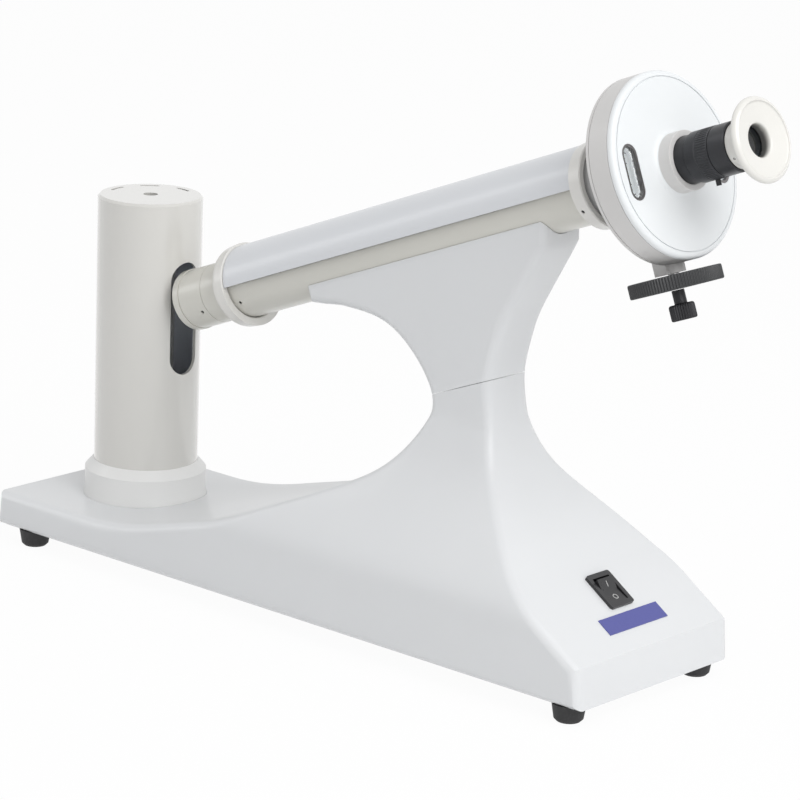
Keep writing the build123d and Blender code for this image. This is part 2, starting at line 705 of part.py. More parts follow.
# Front ring and neck
RING_R_REAR = 23.6
RING_R_FRONT = 24.6
NECK_R = 21.4
NECK_SPIGOT_R = TUBE_BORE_R - SLIDE
NECK_SPIGOT_L = 12.0
NECK_BORE_R = 11.0
JOURNAL_R = 13.0
NECK_STEP_R = 15.0


# Radial hole for a grub screw, turned down towards the near side
def screw_plane(along):
    turn = math.radians(SCREW_TURN)
    out = (SIN_T * math.sin(turn), -math.cos(turn), -COS_T * math.sin(turn))
    return Plane(origin=sight_point(along), x_dir=SIGHT_DIR, z_dir=out)


# Lamp-side end ring with a chamfered rim
with BuildPart() as rear_flange:
    rim = 1.0
    add(section(sight_plane(), [
        (FLANGE_AT, FLANGE_BORE_R),
        (BARREL_AT, FLANGE_BORE_R),
        (BARREL_AT, FLANGE_R),
        (FLANGE_AT + rim, FLANGE_R),
        (FLANGE_AT, FLANGE_R - rim),
    ]))
    revolve(axis=SIGHT_AXIS)
rear_flange.part.label = "rear_flange"
export_step(rear_flange.part, "parts/rear_flange.step")

# Two barrel sections, each with its grub screw hole
for barrel_name, start, end, hole_at in (
    ("rear_barrel", BARREL_AT, SLEEVE_AT, SLEEVE_AT - 4.0),
    ("rear_sleeve", SLEEVE_AT, CUP_AT, CUP_AT - 2.4),
):
    with BuildPart() as barrel:
        rim = 0.4
        add(section(sight_plane(), [
            (start, BARREL_BORE_R),
            (end, BARREL_BORE_R),
            (end, BARREL_R),
            (start + rim, BARREL_R),
            (start, BARREL_R - rim),
        ]))
        revolve(axis=SIGHT_AXIS)
        with BuildSketch(screw_plane(hole_at)):
            Circle(SCREW_R)
        extrude(amount=2 * BARREL_R, mode=Mode.SUBTRACT)
    barrel.part.label = barrel_name
    export_step(barrel.part, f"parts/{barrel_name}.step")

# White cup that joins the barrel to the wider tube, with the lid's rear pin hole
with BuildPart() as rear_cup:
    with BuildSketch(sight_plane()):
        with BuildLine():
            shoulder = Line((MOUTH_AT, CUP_R), (CUP_AT + CUP_ROUND + 1, CUP_R - 0.4))
            Spline(
                shoulder @ 1,
                (CUP_AT + 1.6, CUP_R - 2.6),
                (CUP_AT, BARREL_R + 0.4),
                tangents=[(-1, -0.05), (-0.15, -1)],
            )
            Polyline(
                (CUP_AT, BARREL_R + 0.4),
                (CUP_AT, BARREL_BORE_R),
                (CUP_AT + CUP_FLOOR, BARREL_BORE_R),
                (CUP_AT + CUP_FLOOR, CUP_BORE_R),
                (MOUTH_AT - 1.2, CUP_BORE_R),
                (MOUTH_AT, CUP_MOUTH_R),
                (MOUTH_AT, CUP_R),
            )
        make_face()
    revolve(axis=SIGHT_AXIS)
    with BuildSketch(cross_plane(MOUTH_AT)):
        with Locations((PIN_SIDE, PIN_UP)):
            Circle(PIN_R + SLIDE)
    extrude(amount=-PIN_OUT, mode=Mode.SUBTRACT)
rear_cup.part.label = "rear_cup"
export_step(rear_cup.part, "parts/rear_cup.step")

# Flat optics in the barrel, from the lamp side: each a disc on its own stretch
GROUND_GLASS_AT = -167.0
CONDENSER_AT = -160.0
FILTER_AT = -150.0
POLARIZER_AT = -142.0
HALF_WAVE_AT = -134.0
DISC_T = 2.0
CONDENSER_T = 5.0
CONDENSER_EDGE = 1.6
for optic_name, optic_at in (
    ("ground_glass", GROUND_GLASS_AT),
    ("colour_filter", FILTER_AT),
    ("polarizer", POLARIZER_AT),
    ("half_wave_plate", HALF_WAVE_AT),
):
    with BuildPart() as optic:
        with BuildSketch(cross_plane(optic_at)):
            Circle(LENS_R)
        extrude(amount=DISC_T)
    optic.part.label = optic_name
    export_step(optic.part, f"parts/{optic_name}.step")

# Plano-convex condenser
with BuildPart() as condenser_lens:
    with BuildSketch(sight_plane()):
        with BuildLine():
            Polyline((CONDENSER_AT, LENS_R), (CONDENSER_AT, 0), (CONDENSER_AT + CONDENSER_T, 0))
            Line((CONDENSER_AT, LENS_R), (CONDENSER_AT + CONDENSER_EDGE, LENS_R))
            Spline(
                (CONDENSER_AT + CONDENSER_T, 0),
                (CONDENSER_AT + CONDENSER_EDGE, LENS_R),
                tangents=[(0, 1), (-0.45, 1)],
            )
        make_face()
    revolve(axis=SIGHT_AXIS)
condenser_lens.part.label = "condenser_lens"
export_step(condenser_lens.part, "parts/condenser_lens.step")

# Main tube: full at both ends, open trough between them for the sample tube
with BuildPart() as main_tube:
    tube_rear = CUP_AT + CUP_FLOOR + SEAT
    add(ring_section(tube_rear, NECK_AT, TUBE_BORE_R, TUBE_R))
    revolve(axis=SIGHT_AXIS)
    with BuildSketch(sight_plane().offset(-2 * TUBE_R)):
        with Locations(((TROUGH_REAR + TROUGH_FRONT) / 2, LID_EDGE + TUBE_R)):
            Rectangle(TROUGH_FRONT - TROUGH_REAR, 2 * TUBE_R)
    extrude(amount=4 * TUBE_R, mode=Mode.SUBTRACT)
    with BuildSketch(screw_plane(MOUTH_AT + 4)):
        Circle(SCREW_R)
    extrude(amount=2 * TUBE_R, mode=Mode.SUBTRACT)
main_tube.part.label = "main_tube"
export_step(main_tube.part, "parts/main_tube.step")

# Lid: half shell with end webs and two stub pins on the far edge
with BuildPart() as lid_shell:
    web_r = TUBE_R + SEAT
    add(ring_section(LID_REAR, LID_FRONT, LID_R - LID_T, LID_R))
    revolve(axis=SIGHT_AXIS)
    add(ring_section(LID_REAR, LID_REAR + LID_WEB_T, web_r, LID_R - LID_T / 2))
    revolve(axis=SIGHT_AXIS)
    add(ring_section(LID_FRONT - LID_WEB_T, LID_FRONT, web_r, LID_R - LID_T / 2))
    revolve(axis=SIGHT_AXIS)
    lid_cut = Plane(origin=sight_point(0, LID_EDGE), x_dir=SIGHT_DIR, z_dir=SIGHT_UP)
    split(bisect_by=lid_cut, keep=Keep.TOP)
    with BuildSketch(cross_plane(MOUTH_AT - PIN_OUT + SEAT)):
        with Locations((PIN_SIDE, PIN_UP)):
            Circle(PIN_R)
    extrude(amount=LID_REAR - MOUTH_AT + PIN_OUT)
    with BuildSketch(cross_plane(LID_FRONT - 1)):
        with Locations((PIN_SIDE, PIN_UP)):
            Circle(PIN_R)
    extrude(amount=PIN_OUT + 1)
lid_shell.part.label = "lid_shell"
export_step(lid_shell.part, "parts/lid_shell.step")

# Front ring: slight cone, grub screw hole and the lid's front pin hole
with BuildPart() as front_ring:
    add(section(sight_plane(), [
        (RING_AT, TUBE_R + SEAT),
        (NECK_AT, TUBE_R + SEAT),
        (NECK_AT, RING_R_FRONT - 0.6),
        (NECK_AT - 0.6, RING_R_FRONT),
        (RING_AT, RING_R_REAR),
    ]))
    revolve(axis=SIGHT_AXIS)
    with BuildSketch(screw_plane(RING_AT + 2.8)):
        Circle(SCREW_R)
    extrude(amount=2 * TUBE_R, mode=Mode.SUBTRACT)
    with BuildSketch(cross_plane(RING_AT)):
        with Locations((PIN_SIDE, PIN_UP)):
            Circle(PIN_R + SLIDE)
    extrude(amount=PIN_OUT, mode=Mode.SUBTRACT)
front_ring.part.label = "front_ring"
export_step(front_ring.part, "parts/front_ring.step")

# Dial housing, dial and gear sizes
DISC_R = 49.7
DISC_WALL = 2.8
DISC_BACK_T = 2.4
DISC_BEAD = 1.6
LEDGE_INSET = 7.7
LEDGE_R = DISC_R - LEDGE_INSET
COVER_T = 2.6
COVER_SEAM = 195.4
COVER_EDGE_R = 2.6
CREASE_INSET = 3.3
CREASE_R = DISC_R - CREASE_INSET
CREASE_W = 0.6
CREASE_D = 0.6
BOSS_R_OUT = 15.6
BOSS_FLARE_R = 19.0
BOSS_FLARE_L = 2.6
BOSS_STEP_R = 12.7
WINDOW_SIDE = 35.3
WINDOW_W = 11.6
WINDOW_L = 29.6
BEZEL_WALL = 1.3
BEZEL_DEPTH = 4.4
LENS_T = 2.0
DIAL_AT = 189.3
DIAL_T = 1.4
DIAL_R = 35.8
HUB_AT = 185.0
HUB_R = 17.0
HUB_END = 194.2
GEAR_AT = 187.2
GEAR_T = 2.0
GEAR_R = 37.5
TOOTH_TIP_AT = 184.9
TOOTH_W = 0.9
TOOTH_COUNT = 72
TOOTH_ROOT_R = 31.2
PINION_COUNT = 12
PINION_TIP_R = 6.6
PINION_ROOT_R = 4.6
PINION_FACE = 3.7
PINION_FOOT = -36.2
ANALYZER_AT = 191.6
VERNIER_R = 44.6
VERNIER_T = 1.2
VERNIER_ARC = 40.0

# Drive, measured down from the line of sight
DRIVE_AT = 180.0
CASE_REAR = 173.8
CASE_HALF_W = 6.0
CASE_FOOT = -54.1
CASE_TOP = -26.0
CASE_R = 6.2
BUSH_R = 4.6
SHAFT_R = 3.0
SHAFT_BORE_R = 1.6
WHEEL_TOP = -54.8
WHEEL_T = 7.8
WHEEL_R = 25.0
WHEEL_HUB_R = 7.0
WHEEL_DISH = 1.6
RIB_COUNT = 72
RIB_R = 0.55
STEM_R = 3.4
KNOB_TOP = -70.2
KNOB_T = 8.6
KNOB_R = 7.2
KNURL_COUNT = 24


# Upright plane on the drive's axis: radius and height over the line of sight
def drive_plane():
    return Plane(origin=sight_point(DRIVE_AT), x_dir=SIGHT_DIR, z_dir=(0, -1, 0))


# Plane square to the drive's axis at a height over the line of sight
def drive_cross(height):
    return Plane(origin=sight_point(DRIVE_AT, height), x_dir=SIGHT_DIR, z_dir=SIGHT_UP)


DRIVE_AXIS = Axis(sight_point(DRIVE_AT), SIGHT_UP)

# Neck: spigot in the tube, shoulder between ring and dial, journal for the dial's hub
with BuildPart() as neck_tube:
    add(section(sight_plane(), [
        (NECK_AT - NECK_SPIGOT_L, NECK_BORE_R),
        (NECK_AT - NECK_SPIGOT_L, NECK_SPIGOT_R),
        (NECK_AT, NECK_SPIGOT_R),
        (NECK_AT, NECK_R),
        (DISC_AT, NECK_R),
        (DISC_AT, NECK_STEP_R),
        (HUB_AT - SEAT, NECK_STEP_R),
        (HUB_AT - SEAT, JOURNAL_R),
        (ANALYZER_AT - 1.2, JOURNAL_R),
        (ANALYZER_AT - 1.2, NECK_BORE_R),
    ]))
    revolve(axis=SIGHT_AXIS)
neck_tube.part.label = "neck_tube"
export_step(neck_tube.part, "parts/neck_tube.step")

# Dial housing: back plate, rim with a bead, vernier ledge and the gear case below
with BuildPart() as dial_housing:
    add(section(sight_plane(), [
        (DISC_AT, NECK_STEP_R + SEAT),
        (DISC_AT, DISC_R),
        (DISC_AT + DISC_BEAD, DISC_R),
        (DISC_AT + DISC_BEAD, DISC_R - 0.4),
        (DISC_AT + DISC_BEAD + 0.5, DISC_R - 0.4),
        (DISC_AT + DISC_BEAD + 0.5, DISC_R),
        (COVER_SEAM, DISC_R),
        (COVER_SEAM, DISC_R - DISC_WALL),
        (DIAL_AT + SEAT, DISC_R - DISC_WALL),
        (DIAL_AT + SEAT, LEDGE_R),
        (DISC_AT + DISC_BACK_T, LEDGE_R),
        (DISC_AT + DISC_BACK_T, NECK_STEP_R + SEAT),
    ]))
    revolve(axis=SIGHT_AXIS)
    with BuildSketch(drive_cross(CASE_FOOT)):
        with Locations(((CASE_REAR - DRIVE_AT) / 2, 0)):
            Rectangle(DRIVE_AT - CASE_REAR, 2 * CASE_HALF_W)
        Circle(CASE_R)
    extrude(amount=-GEAR_R - 3.0 - CASE_FOOT)
    with BuildSketch(drive_cross(CASE_FOOT)):
        case_len = DISC_AT + 1 - CASE_REAR
        with Locations((CASE_REAR - DRIVE_AT + case_len / 2, 0)):
            Rectangle(case_len, 2 * CASE_HALF_W + 4)
    extrude(amount=CASE_TOP - CASE_FOOT)
    add(section(drive_plane(), [
        (0, CASE_FOOT),
        (BUSH_R + SEAT, CASE_FOOT),
        (BUSH_R + SEAT, -GEAR_R - 1.6),
        (PINION_TIP_R + 0.6, -GEAR_R - 1.6),
        (PINION_TIP_R + 0.6, -TOOTH_ROOT_R + 1.2),
        (0, -TOOTH_ROOT_R + 1.2),
    ]))
    revolve(axis=DRIVE_AXIS, mode=Mode.SUBTRACT)
dial_housing.part.label = "dial_housing"
export_step(dial_housing.part, "parts/dial_housing.step")

# Front cover: face with rounded rim and a crease inside it, two windows and the flared eyepiece boss
with BuildPart() as dial_cover:
    with BuildSketch(sight_plane()):
        with BuildLine():
            flare = Spline(
                (FACE_AT, BOSS_FLARE_R),
                (FACE_AT + BOSS_FLARE_L, BOSS_R_OUT),
                tangents=[(0.05, -1), (1, -0.05)],
            )
            Polyline(
                flare @ 1,
                (BOSS_END, BOSS_R_OUT),
                (BOSS_END, BOSS_STEP_R),
                (FACE_AT - COVER_T, BOSS_STEP_R),
                (FACE_AT - COVER_T, DISC_R - DISC_WALL - SEAT),
                (COVER_SEAM + SEAT, DISC_R - DISC_WALL - SEAT),
                (COVER_SEAM + SEAT, DISC_R),
                (FACE_AT - COVER_EDGE_R, DISC_R),
            )
            bend = COVER_EDGE_R * (1 - math.sqrt(0.5))
            ThreePointArc(
                (FACE_AT - COVER_EDGE_R, DISC_R),
                (FACE_AT - bend, DISC_R - bend),
                (FACE_AT, DISC_R - COVER_EDGE_R),
            )
            Polyline(
                (FACE_AT, DISC_R - COVER_EDGE_R),
                (FACE_AT, CREASE_R),
                (FACE_AT - CREASE_D, CREASE_R),
                (FACE_AT - CREASE_D, CREASE_R - CREASE_W),
                (FACE_AT, CREASE_R - CREASE_W),
                flare @ 0,
            )
        make_face()
    revolve(axis=SIGHT_AXIS)
    with BuildSketch(cross_plane(FACE_AT - COVER_T)):
        with Locations((-WINDOW_SIDE, 0), (WINDOW_SIDE, 0)):
            SlotOverall(WINDOW_L, WINDOW_W, rotation=90)
    extrude(amount=2 * COVER_T, mode=Mode.SUBTRACT)
dial_cover.part.label = "dial_cover"
export_step(dial_cover.part, "parts/dial_cover.step")

# Window frames and their magnifier glasses, near and far
for side_name, side in (("near", -WINDOW_SIDE), ("far", WINDOW_SIDE)):
    with BuildPart() as window_frame:
        frame_w = WINDOW_W - 2 * SLIDE
        frame_l = WINDOW_L - 2 * SLIDE
        with BuildSketch(cross_plane(FACE_AT - BEZEL_DEPTH)):
            with Locations((side, 0)):
                SlotOverall(frame_l, frame_w, rotation=90)
                SlotOverall(frame_l - 2 * BEZEL_WALL, frame_w - 2 * BEZEL_WALL, rotation=90, mode=Mode.SUBTRACT)
        extrude(amount=BEZEL_DEPTH - 0.2)
    window_frame.part.label = f"window_frame_{side_name}"
    export_step(window_frame.part, f"parts/window_frame_{side_name}.step")
    with BuildPart() as window_glass:
        glass_w = WINDOW_W - 2 * SLIDE - 2 * BEZEL_WALL - 2 * SLIDE
        glass_l = WINDOW_L - 2 * SLIDE - 2 * BEZEL_WALL - 2 * SLIDE
        with BuildSketch(cross_plane(FACE_AT - BEZEL_DEPTH)):
            with Locations((side, 0)):
                SlotOverall(glass_l, glass_w, rotation=90)
        extrude(amount=LENS_T)
    window_glass.part.label = f"window_glass_{side_name}"
    export_step(window_glass.part, f"parts/window_glass_{side_name}.step")

# Vernier plates on the ledge, one behind each window
for side_name, middle in (("near", 180.0), ("far", 0.0)):
    with BuildPart() as vernier:
        inner_r = DIAL_R + SEAT
        with BuildSketch(cross_plane(DIAL_AT + SEAT)):
            with BuildLine():
                inner = CenterArc((0, 0), inner_r, middle - VERNIER_ARC / 2, VERNIER_ARC)
                outer = CenterArc((0, 0), VERNIER_R, middle - VERNIER_ARC / 2, VERNIER_ARC)
                Line(inner @ 0, outer @ 0)
                Line(inner @ 1, outer @ 1)
            make_face()
        extrude(amount=VERNIER_T)
    vernier.part.label = f"vernier_{side_name}"
    export_step(vernier.part, f"parts/vernier_{side_name}.step")

# Hub with the crown gear cut on its flange, in mesh with the pinion at rest
with BuildPart() as dial_hub:
    add(section(sight_plane(), [
        (HUB_AT, JOURNAL_R + RUN),
        (HUB_AT, HUB_R),
        (GEAR_AT, HUB_R),
        (GEAR_AT, GEAR_R),
        (GEAR_AT + GEAR_T, GEAR_R),
        (GEAR_AT + GEAR_T, HUB_R),
        (HUB_END, HUB_R),
        (HUB_END, NECK_BORE_R),
        (ANALYZER_AT - 0.6, NECK_BORE_R),
        (ANALYZER_AT - 0.6, JOURNAL_R + RUN),
    ]))
    revolve(axis=SIGHT_AXIS)
    with BuildSketch(cross_plane(TOOTH_TIP_AT)):
        tooth_mid = (TOOTH_ROOT_R + GEAR_R) / 2
        half_pitch = 180 / TOOTH_COUNT
        with PolarLocations(tooth_mid, TOOTH_COUNT, start_angle=-90 + half_pitch):
            Rectangle(GEAR_R - TOOTH_ROOT_R - 0.2, TOOTH_W)
    extrude(amount=GEAR_AT - TOOTH_TIP_AT)
dial_hub.part.label = "dial_hub"
export_step(dial_hub.part, "parts/dial_hub.step")

# Graduated disc that sits on the hub's flange
with BuildPart() as dial_disc:
    add(ring_section(DIAL_AT, DIAL_AT + DIAL_T, HUB_R + SEAT, DIAL_R))
    revolve(axis=SIGHT_AXIS)
dial_disc.part.label = "dial_disc"
export_step(dial_disc.part, "parts/dial_disc.step")

# Analyzer disc in the hub's bore
with BuildPart() as analyzer:
    with BuildSketch(cross_plane(ANALYZER_AT)):
        Circle(NECK_BORE_R - SEAT)
    extrude(amount=DISC_T)
analyzer.part.label = "analyzer"
export_step(analyzer.part, "parts/analyzer.step")

# Pinion at the inner end of the drive shaft
with BuildPart() as drive_pinion:
    with BuildSketch(drive_cross(PINION_FOOT)):
        Circle(PINION_ROOT_R)
        with PolarLocations((PINION_ROOT_R + PINION_TIP_R) / 2 - 0.3, PINION_COUNT):
            Rectangle(PINION_TIP_R - PINION_ROOT_R + 0.6, TOOTH_W)
        Circle(SHAFT_R + SLIDE, mode=Mode.SUBTRACT)
    extrude(amount=PINION_FACE)
drive_pinion.part.label = "drive_pinion"
export_step(drive_pinion.part, "parts/drive_pinion.step")

# Drive shaft, bored from below for the fine knob's spigot
with BuildPart() as drive_shaft:
    shaft_foot = WHEEL_TOP - WHEEL_T
    add(section(drive_plane(), [
        (SHAFT_BORE_R, shaft_foot),
        (SHAFT_R, shaft_foot),
        (SHAFT_R, PINION_FOOT + PINION_FACE),
        (0, PINION_FOOT + PINION_FACE),
        (0, WHEEL_TOP + WHEEL_T),
        (SHAFT_BORE_R, WHEEL_TOP + WHEEL_T),
    ]))
    revolve(axis=DRIVE_AXIS)
drive_shaft.part.label = "drive_shaft"
export_step(drive_shaft.part, "parts/drive_shaft.step")

# Bush that carries the shaft in the gear case
with BuildPart() as shaft_bush:
    add(section(drive_plane(), [
        (SHAFT_R + RUN, CASE_FOOT),
        (BUSH_R, CASE_FOOT),
        (BUSH_R, -GEAR_R - 1.6),
        (SHAFT_R + RUN, -GEAR_R - 1.6),
    ]))
    revolve(axis=DRIVE_AXIS)
shaft_bush.part.label = "shaft_bush"
export_step(shaft_bush.part, "parts/shaft_bush.step")

# Coarse handwheel: ribbed rim, dished faces and a hub on the shaft
with BuildPart() as handwheel:
    with BuildSketch(drive_cross(WHEEL_TOP - WHEEL_T)):
        Circle(WHEEL_R)
        with PolarLocations(WHEEL_R, RIB_COUNT):
            Circle(RIB_R, mode=Mode.SUBTRACT)
        Circle(SHAFT_R + SLIDE, mode=Mode.SUBTRACT)
    extrude(amount=WHEEL_T)
    for dish_at, dish_dir in ((WHEEL_TOP, -1), (WHEEL_TOP - WHEEL_T, 1)):
        with BuildSketch(drive_cross(dish_at)):
            Circle(WHEEL_R - 4)
            Circle(WHEEL_HUB_R, mode=Mode.SUBTRACT)
        extrude(amount=dish_dir * WHEEL_DISH, mode=Mode.SUBTRACT)
handwheel.part.label = "handwheel"
export_step(handwheel.part, "parts/handwheel.step")

# Fine knob: spigot in the shaft, plain stem and knurled head
with BuildPart() as fine_knob:
    stem_top = WHEEL_TOP - WHEEL_T - SEAT
    add(section(drive_plane(), [
        (0, KNOB_TOP - KNOB_T / 2),
        (STEM_R, KNOB_TOP - KNOB_T / 2),
        (STEM_R, stem_top),
        (SHAFT_BORE_R - RUN, stem_top),
        (SHAFT_BORE_R - RUN, WHEEL_TOP + WHEEL_T - 1),
        (0, WHEEL_TOP + WHEEL_T - 1),
    ]))
    revolve(axis=DRIVE_AXIS)
    with BuildSketch(drive_cross(KNOB_TOP - KNOB_T)):
        Circle(KNOB_R)
        with PolarLocations(KNOB_R, KNURL_COUNT):
            Circle(RIB_R, mode=Mode.SUBTRACT)
    extrude(amount=KNOB_T)
fine_knob.part.label = "fine_knob"
export_step(fine_knob.part, "parts/fine_knob.step")

# Eyepiece lengths and radii
STEP_AT = 214.8
FOCUS_END = 230.2
OCULAR_AT = 230.6
CUP_CYL_AT = 241.0
CUP_FLARE_AT = 249.4
EYE_BARREL_R = 12.6
FOCUS_SEAT_R = 11.6
FOCUS_R = 13.5
EYE_BORE_R = 10.2
OCULAR_R = 13.4
OCULAR_BORE_R = 8.8
CUP_CYL_R = 12.2
CUP_HOLE_R = 8.8
CUP_DISH_AT = 253.5
EYE_LENS_AT = 244.5
EYE_LENS_T = 4.0
OBJECTIVE_AT = 199.5
OBJECTIVE_T = 4.0
GUIDE_AT = 222.5
GUIDE_R = 1.4
GUIDE_OUT = 16.6
FOCUS_RIBS = 48
FOCUS_RIB_AT = 222.3
FOCUS_RIM = 0.4

# Fixed eyepiece tube, screwed through the boss
with BuildPart() as eyepiece_tube:
    add(section(sight_plane(), [
        (FACE_AT - COVER_T, EYE_BORE_R),
        (FACE_AT - COVER_T, EYE_BARREL_R),
        (STEP_AT - 0.8, EYE_BARREL_R),
        (STEP_AT, EYE_BARREL_R - 0.8),
        (STEP_AT, FOCUS_SEAT_R),
        (OCULAR_AT - 0.6, FOCUS_SEAT_R),
        (OCULAR_AT - 0.6, EYE_BORE_R),
    ]))
    revolve(axis=SIGHT_AXIS)
eyepiece_tube.part.label = "eyepiece_tube"
export_step(eyepiece_tube.part, "parts/eyepiece_tube.step")

# Objective lens at the inner end of the eyepiece tube
with BuildPart() as objective_lens:
    with BuildSketch(cross_plane(OBJECTIVE_AT)):
        Circle(EYE_BORE_R - SEAT)
    extrude(amount=OBJECTIVE_T)
    fillet(objective_lens.edges().filter_by(GeomType.CIRCLE), radius=OBJECTIVE_T / 3)
objective_lens.part.label = "objective_lens"
export_step(objective_lens.part, "parts/objective_lens.step")

# Focusing ring, ribbed on its front half, that turns on the fixed tube, with its guide screw's hole
with BuildPart() as focus_ring:
    with BuildSketch(cross_plane(STEP_AT + 0.2)):
        Circle(FOCUS_R)
        Circle(FOCUS_SEAT_R + RUN, mode=Mode.SUBTRACT)
    extrude(amount=FOCUS_END - STEP_AT - 0.2)
    with BuildSketch(cross_plane(FOCUS_RIB_AT)):
        with PolarLocations(FOCUS_R, FOCUS_RIBS):
            Circle(RIB_R / 1.6)
    extrude(amount=FOCUS_END - FOCUS_RIM - FOCUS_RIB_AT, mode=Mode.SUBTRACT)
    with BuildSketch(Plane(origin=sight_point(GUIDE_AT), x_dir=SIGHT_DIR, z_dir=(SIN_T, 0, -COS_T))):
        Circle(GUIDE_R + SLIDE)
    extrude(amount=2 * FOCUS_R, mode=Mode.SUBTRACT)
focus_ring.part.label = "focus_ring"
export_step(focus_ring.part, "parts/focus_ring.step")

# Guide screw under the focusing ring
with BuildPart() as guide_screw:
    with BuildSketch(Plane(origin=sight_point(GUIDE_AT, -FOCUS_SEAT_R - SEAT), x_dir=SIGHT_DIR, z_dir=(SIN_T, 0, -COS_T))):
        Circle(GUIDE_R)
    extrude(amount=GUIDE_OUT - FOCUS_SEAT_R - SEAT)
guide_screw.part.label = "guide_screw"
export_step(guide_screw.part, "parts/guide_screw.step")

# Sliding ocular barrel: inner sleeve in the fixed tube and a grip section outside
with BuildPart() as ocular_barrel:
    add(section(sight_plane(), [
        (OBJECTIVE_AT + OBJECTIVE_T + 6.0, OCULAR_BORE_R),
        (OBJECTIVE_AT + OBJECTIVE_T + 6.0, EYE_BORE_R - RUN),
        (OCULAR_AT, EYE_BORE_R - RUN),
        (OCULAR_AT, OCULAR_R),
        (CUP_CYL_AT - 0.6, OCULAR_R),
        (CUP_CYL_AT, OCULAR_R - 0.6),
        (CUP_CYL_AT, OCULAR_BORE_R),
    ]))
    revolve(axis=SIGHT_AXIS)
ocular_barrel.part.label = "ocular_barrel"
export_step(ocular_barrel.part, "parts/ocular_barrel.step")

# Eyecup: short cylinder that flares into a shallow dish with a round rim
with BuildPart() as eyecup:
    rim_at = CUP_RIM_AT - CUP_EDGE_R
    rim_r = CUP_RIM_R - CUP_EDGE_R
    rim_bend = CUP_EDGE_R * math.sqrt(0.5)
    with BuildSketch(sight_plane()):
        with BuildLine():
            back = Spline(
                (CUP_FLARE_AT, CUP_CYL_R),
                (rim_at - rim_bend, rim_r + rim_bend),
                tangents=[(1, 0.3), (1, 1)],
            )
            ThreePointArc(
                (rim_at - rim_bend, rim_r + rim_bend),
                (rim_at, CUP_RIM_R),
                (CUP_RIM_AT, rim_r),
            )
            dish = Spline(
                (CUP_RIM_AT, rim_r),
                (CUP_RIM_AT - 2.2, CUP_RIM_R - 7.0),
                (CUP_DISH_AT, CUP_HOLE_R),
                tangents=[(-0.05, -1), (-0.4, -1)],
            )
            Polyline(
                dish @ 1,
                (CUP_DISH_AT - 3.5, CUP_HOLE_R),
                (CUP_DISH_AT - 3.5, EYE_BORE_R - 0.6),
                (CUP_CYL_AT, EYE_BORE_R - 0.6),
                (CUP_CYL_AT, CUP_CYL_R),
                back @ 0,
            )
        make_face()
    revolve(axis=SIGHT_AXIS)
    with BuildSketch(screw_plane(CUP_CYL_AT + 2.8)):
        Circle(SCREW_R / 1.4)
    extrude(amount=2 * CUP_CYL_R, mode=Mode.SUBTRACT)
eyecup.part.label = "eyecup"
export_step(eyecup.part, "parts/eyecup.step")

# Eye lens behind the cup's hole
with BuildPart() as eye_lens:
    with BuildSketch(cross_plane(EYE_LENS_AT)):
        Circle(EYE_BORE_R - 0.6 - SEAT)
    extrude(amount=EYE_LENS_T)
    fillet(eye_lens.edges().filter_by(GeomType.CIRCLE), radius=EYE_LENS_T / 3)
eye_lens.part.label = "eye_lens"
export_step(eye_lens.part, "parts/eye_lens.step")

# Sample tube with its bubble bulge, and the screw caps that lie in the trough
SAMPLE_REAR = -101.0
SAMPLE_L = 200.0
SAMPLE_R = 8.0
SAMPLE_BORE_R = 4.5
BULGE_AT = 62.0
BULGE_R = 11.4
BULGE_L = 26.0
SAMPLE_CAP_R = TUBE_BORE_R - SEAT
SAMPLE_CAP_L = 16.0
SAMPLE_CAP_IN = 9.0
with BuildPart() as sample_tube:
    with BuildSketch(sight_plane()):
        with BuildLine():
            sample_end = SAMPLE_REAR + SAMPLE_L
            Polyline(
                (BULGE_AT - BULGE_L / 2, SAMPLE_R),
                (SAMPLE_REAR, SAMPLE_R),
                (SAMPLE_REAR, SAMPLE_BORE_R),
                (sample_end, SAMPLE_BORE_R),
                (sample_end, SAMPLE_R),
                (BULGE_AT + BULGE_L / 2, SAMPLE_R),
            )
            Spline(
                (BULGE_AT + BULGE_L / 2, SAMPLE_R),
                (BULGE_AT, BULGE_R),
                (BULGE_AT - BULGE_L / 2, SAMPLE_R),
                tangents=[(-1, 0), (-1, 0)],
            )
        make_face()
    revolve(axis=SIGHT_AXIS)
sample_tube.part.label = "sample_tube"
export_step(sample_tube.part, "parts/sample_tube.step")

for cap_name, open_end, closed_end in (
    ("sample_cap_rear", SAMPLE_REAR + SAMPLE_CAP_IN, SAMPLE_REAR + SAMPLE_CAP_IN - SAMPLE_CAP_L),
    ("sample_cap_front", sample_end - SAMPLE_CAP_IN, sample_end - SAMPLE_CAP_IN + SAMPLE_CAP_L),
):
    inward = math.copysign(1.0, open_end - closed_end)
    stop = open_end - inward * (SAMPLE_CAP_IN + SEAT)
    with BuildPart() as sample_cap:
        add(section(sight_plane(), [
            (open_end, SAMPLE_R + SEAT),
            (stop, SAMPLE_R + SEAT),
            (stop, SAMPLE_BORE_R),
            (closed_end, SAMPLE_BORE_R),
            (closed_end, SAMPLE_CAP_R),
            (open_end, SAMPLE_CAP_R),
        ]))
        revolve(axis=SIGHT_AXIS)
    sample_cap.part.label = cap_name
    export_step(sample_cap.part, f"parts/{cap_name}.step")
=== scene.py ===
import math

import bpy
import numpy as np
from mathutils import Matrix, Vector


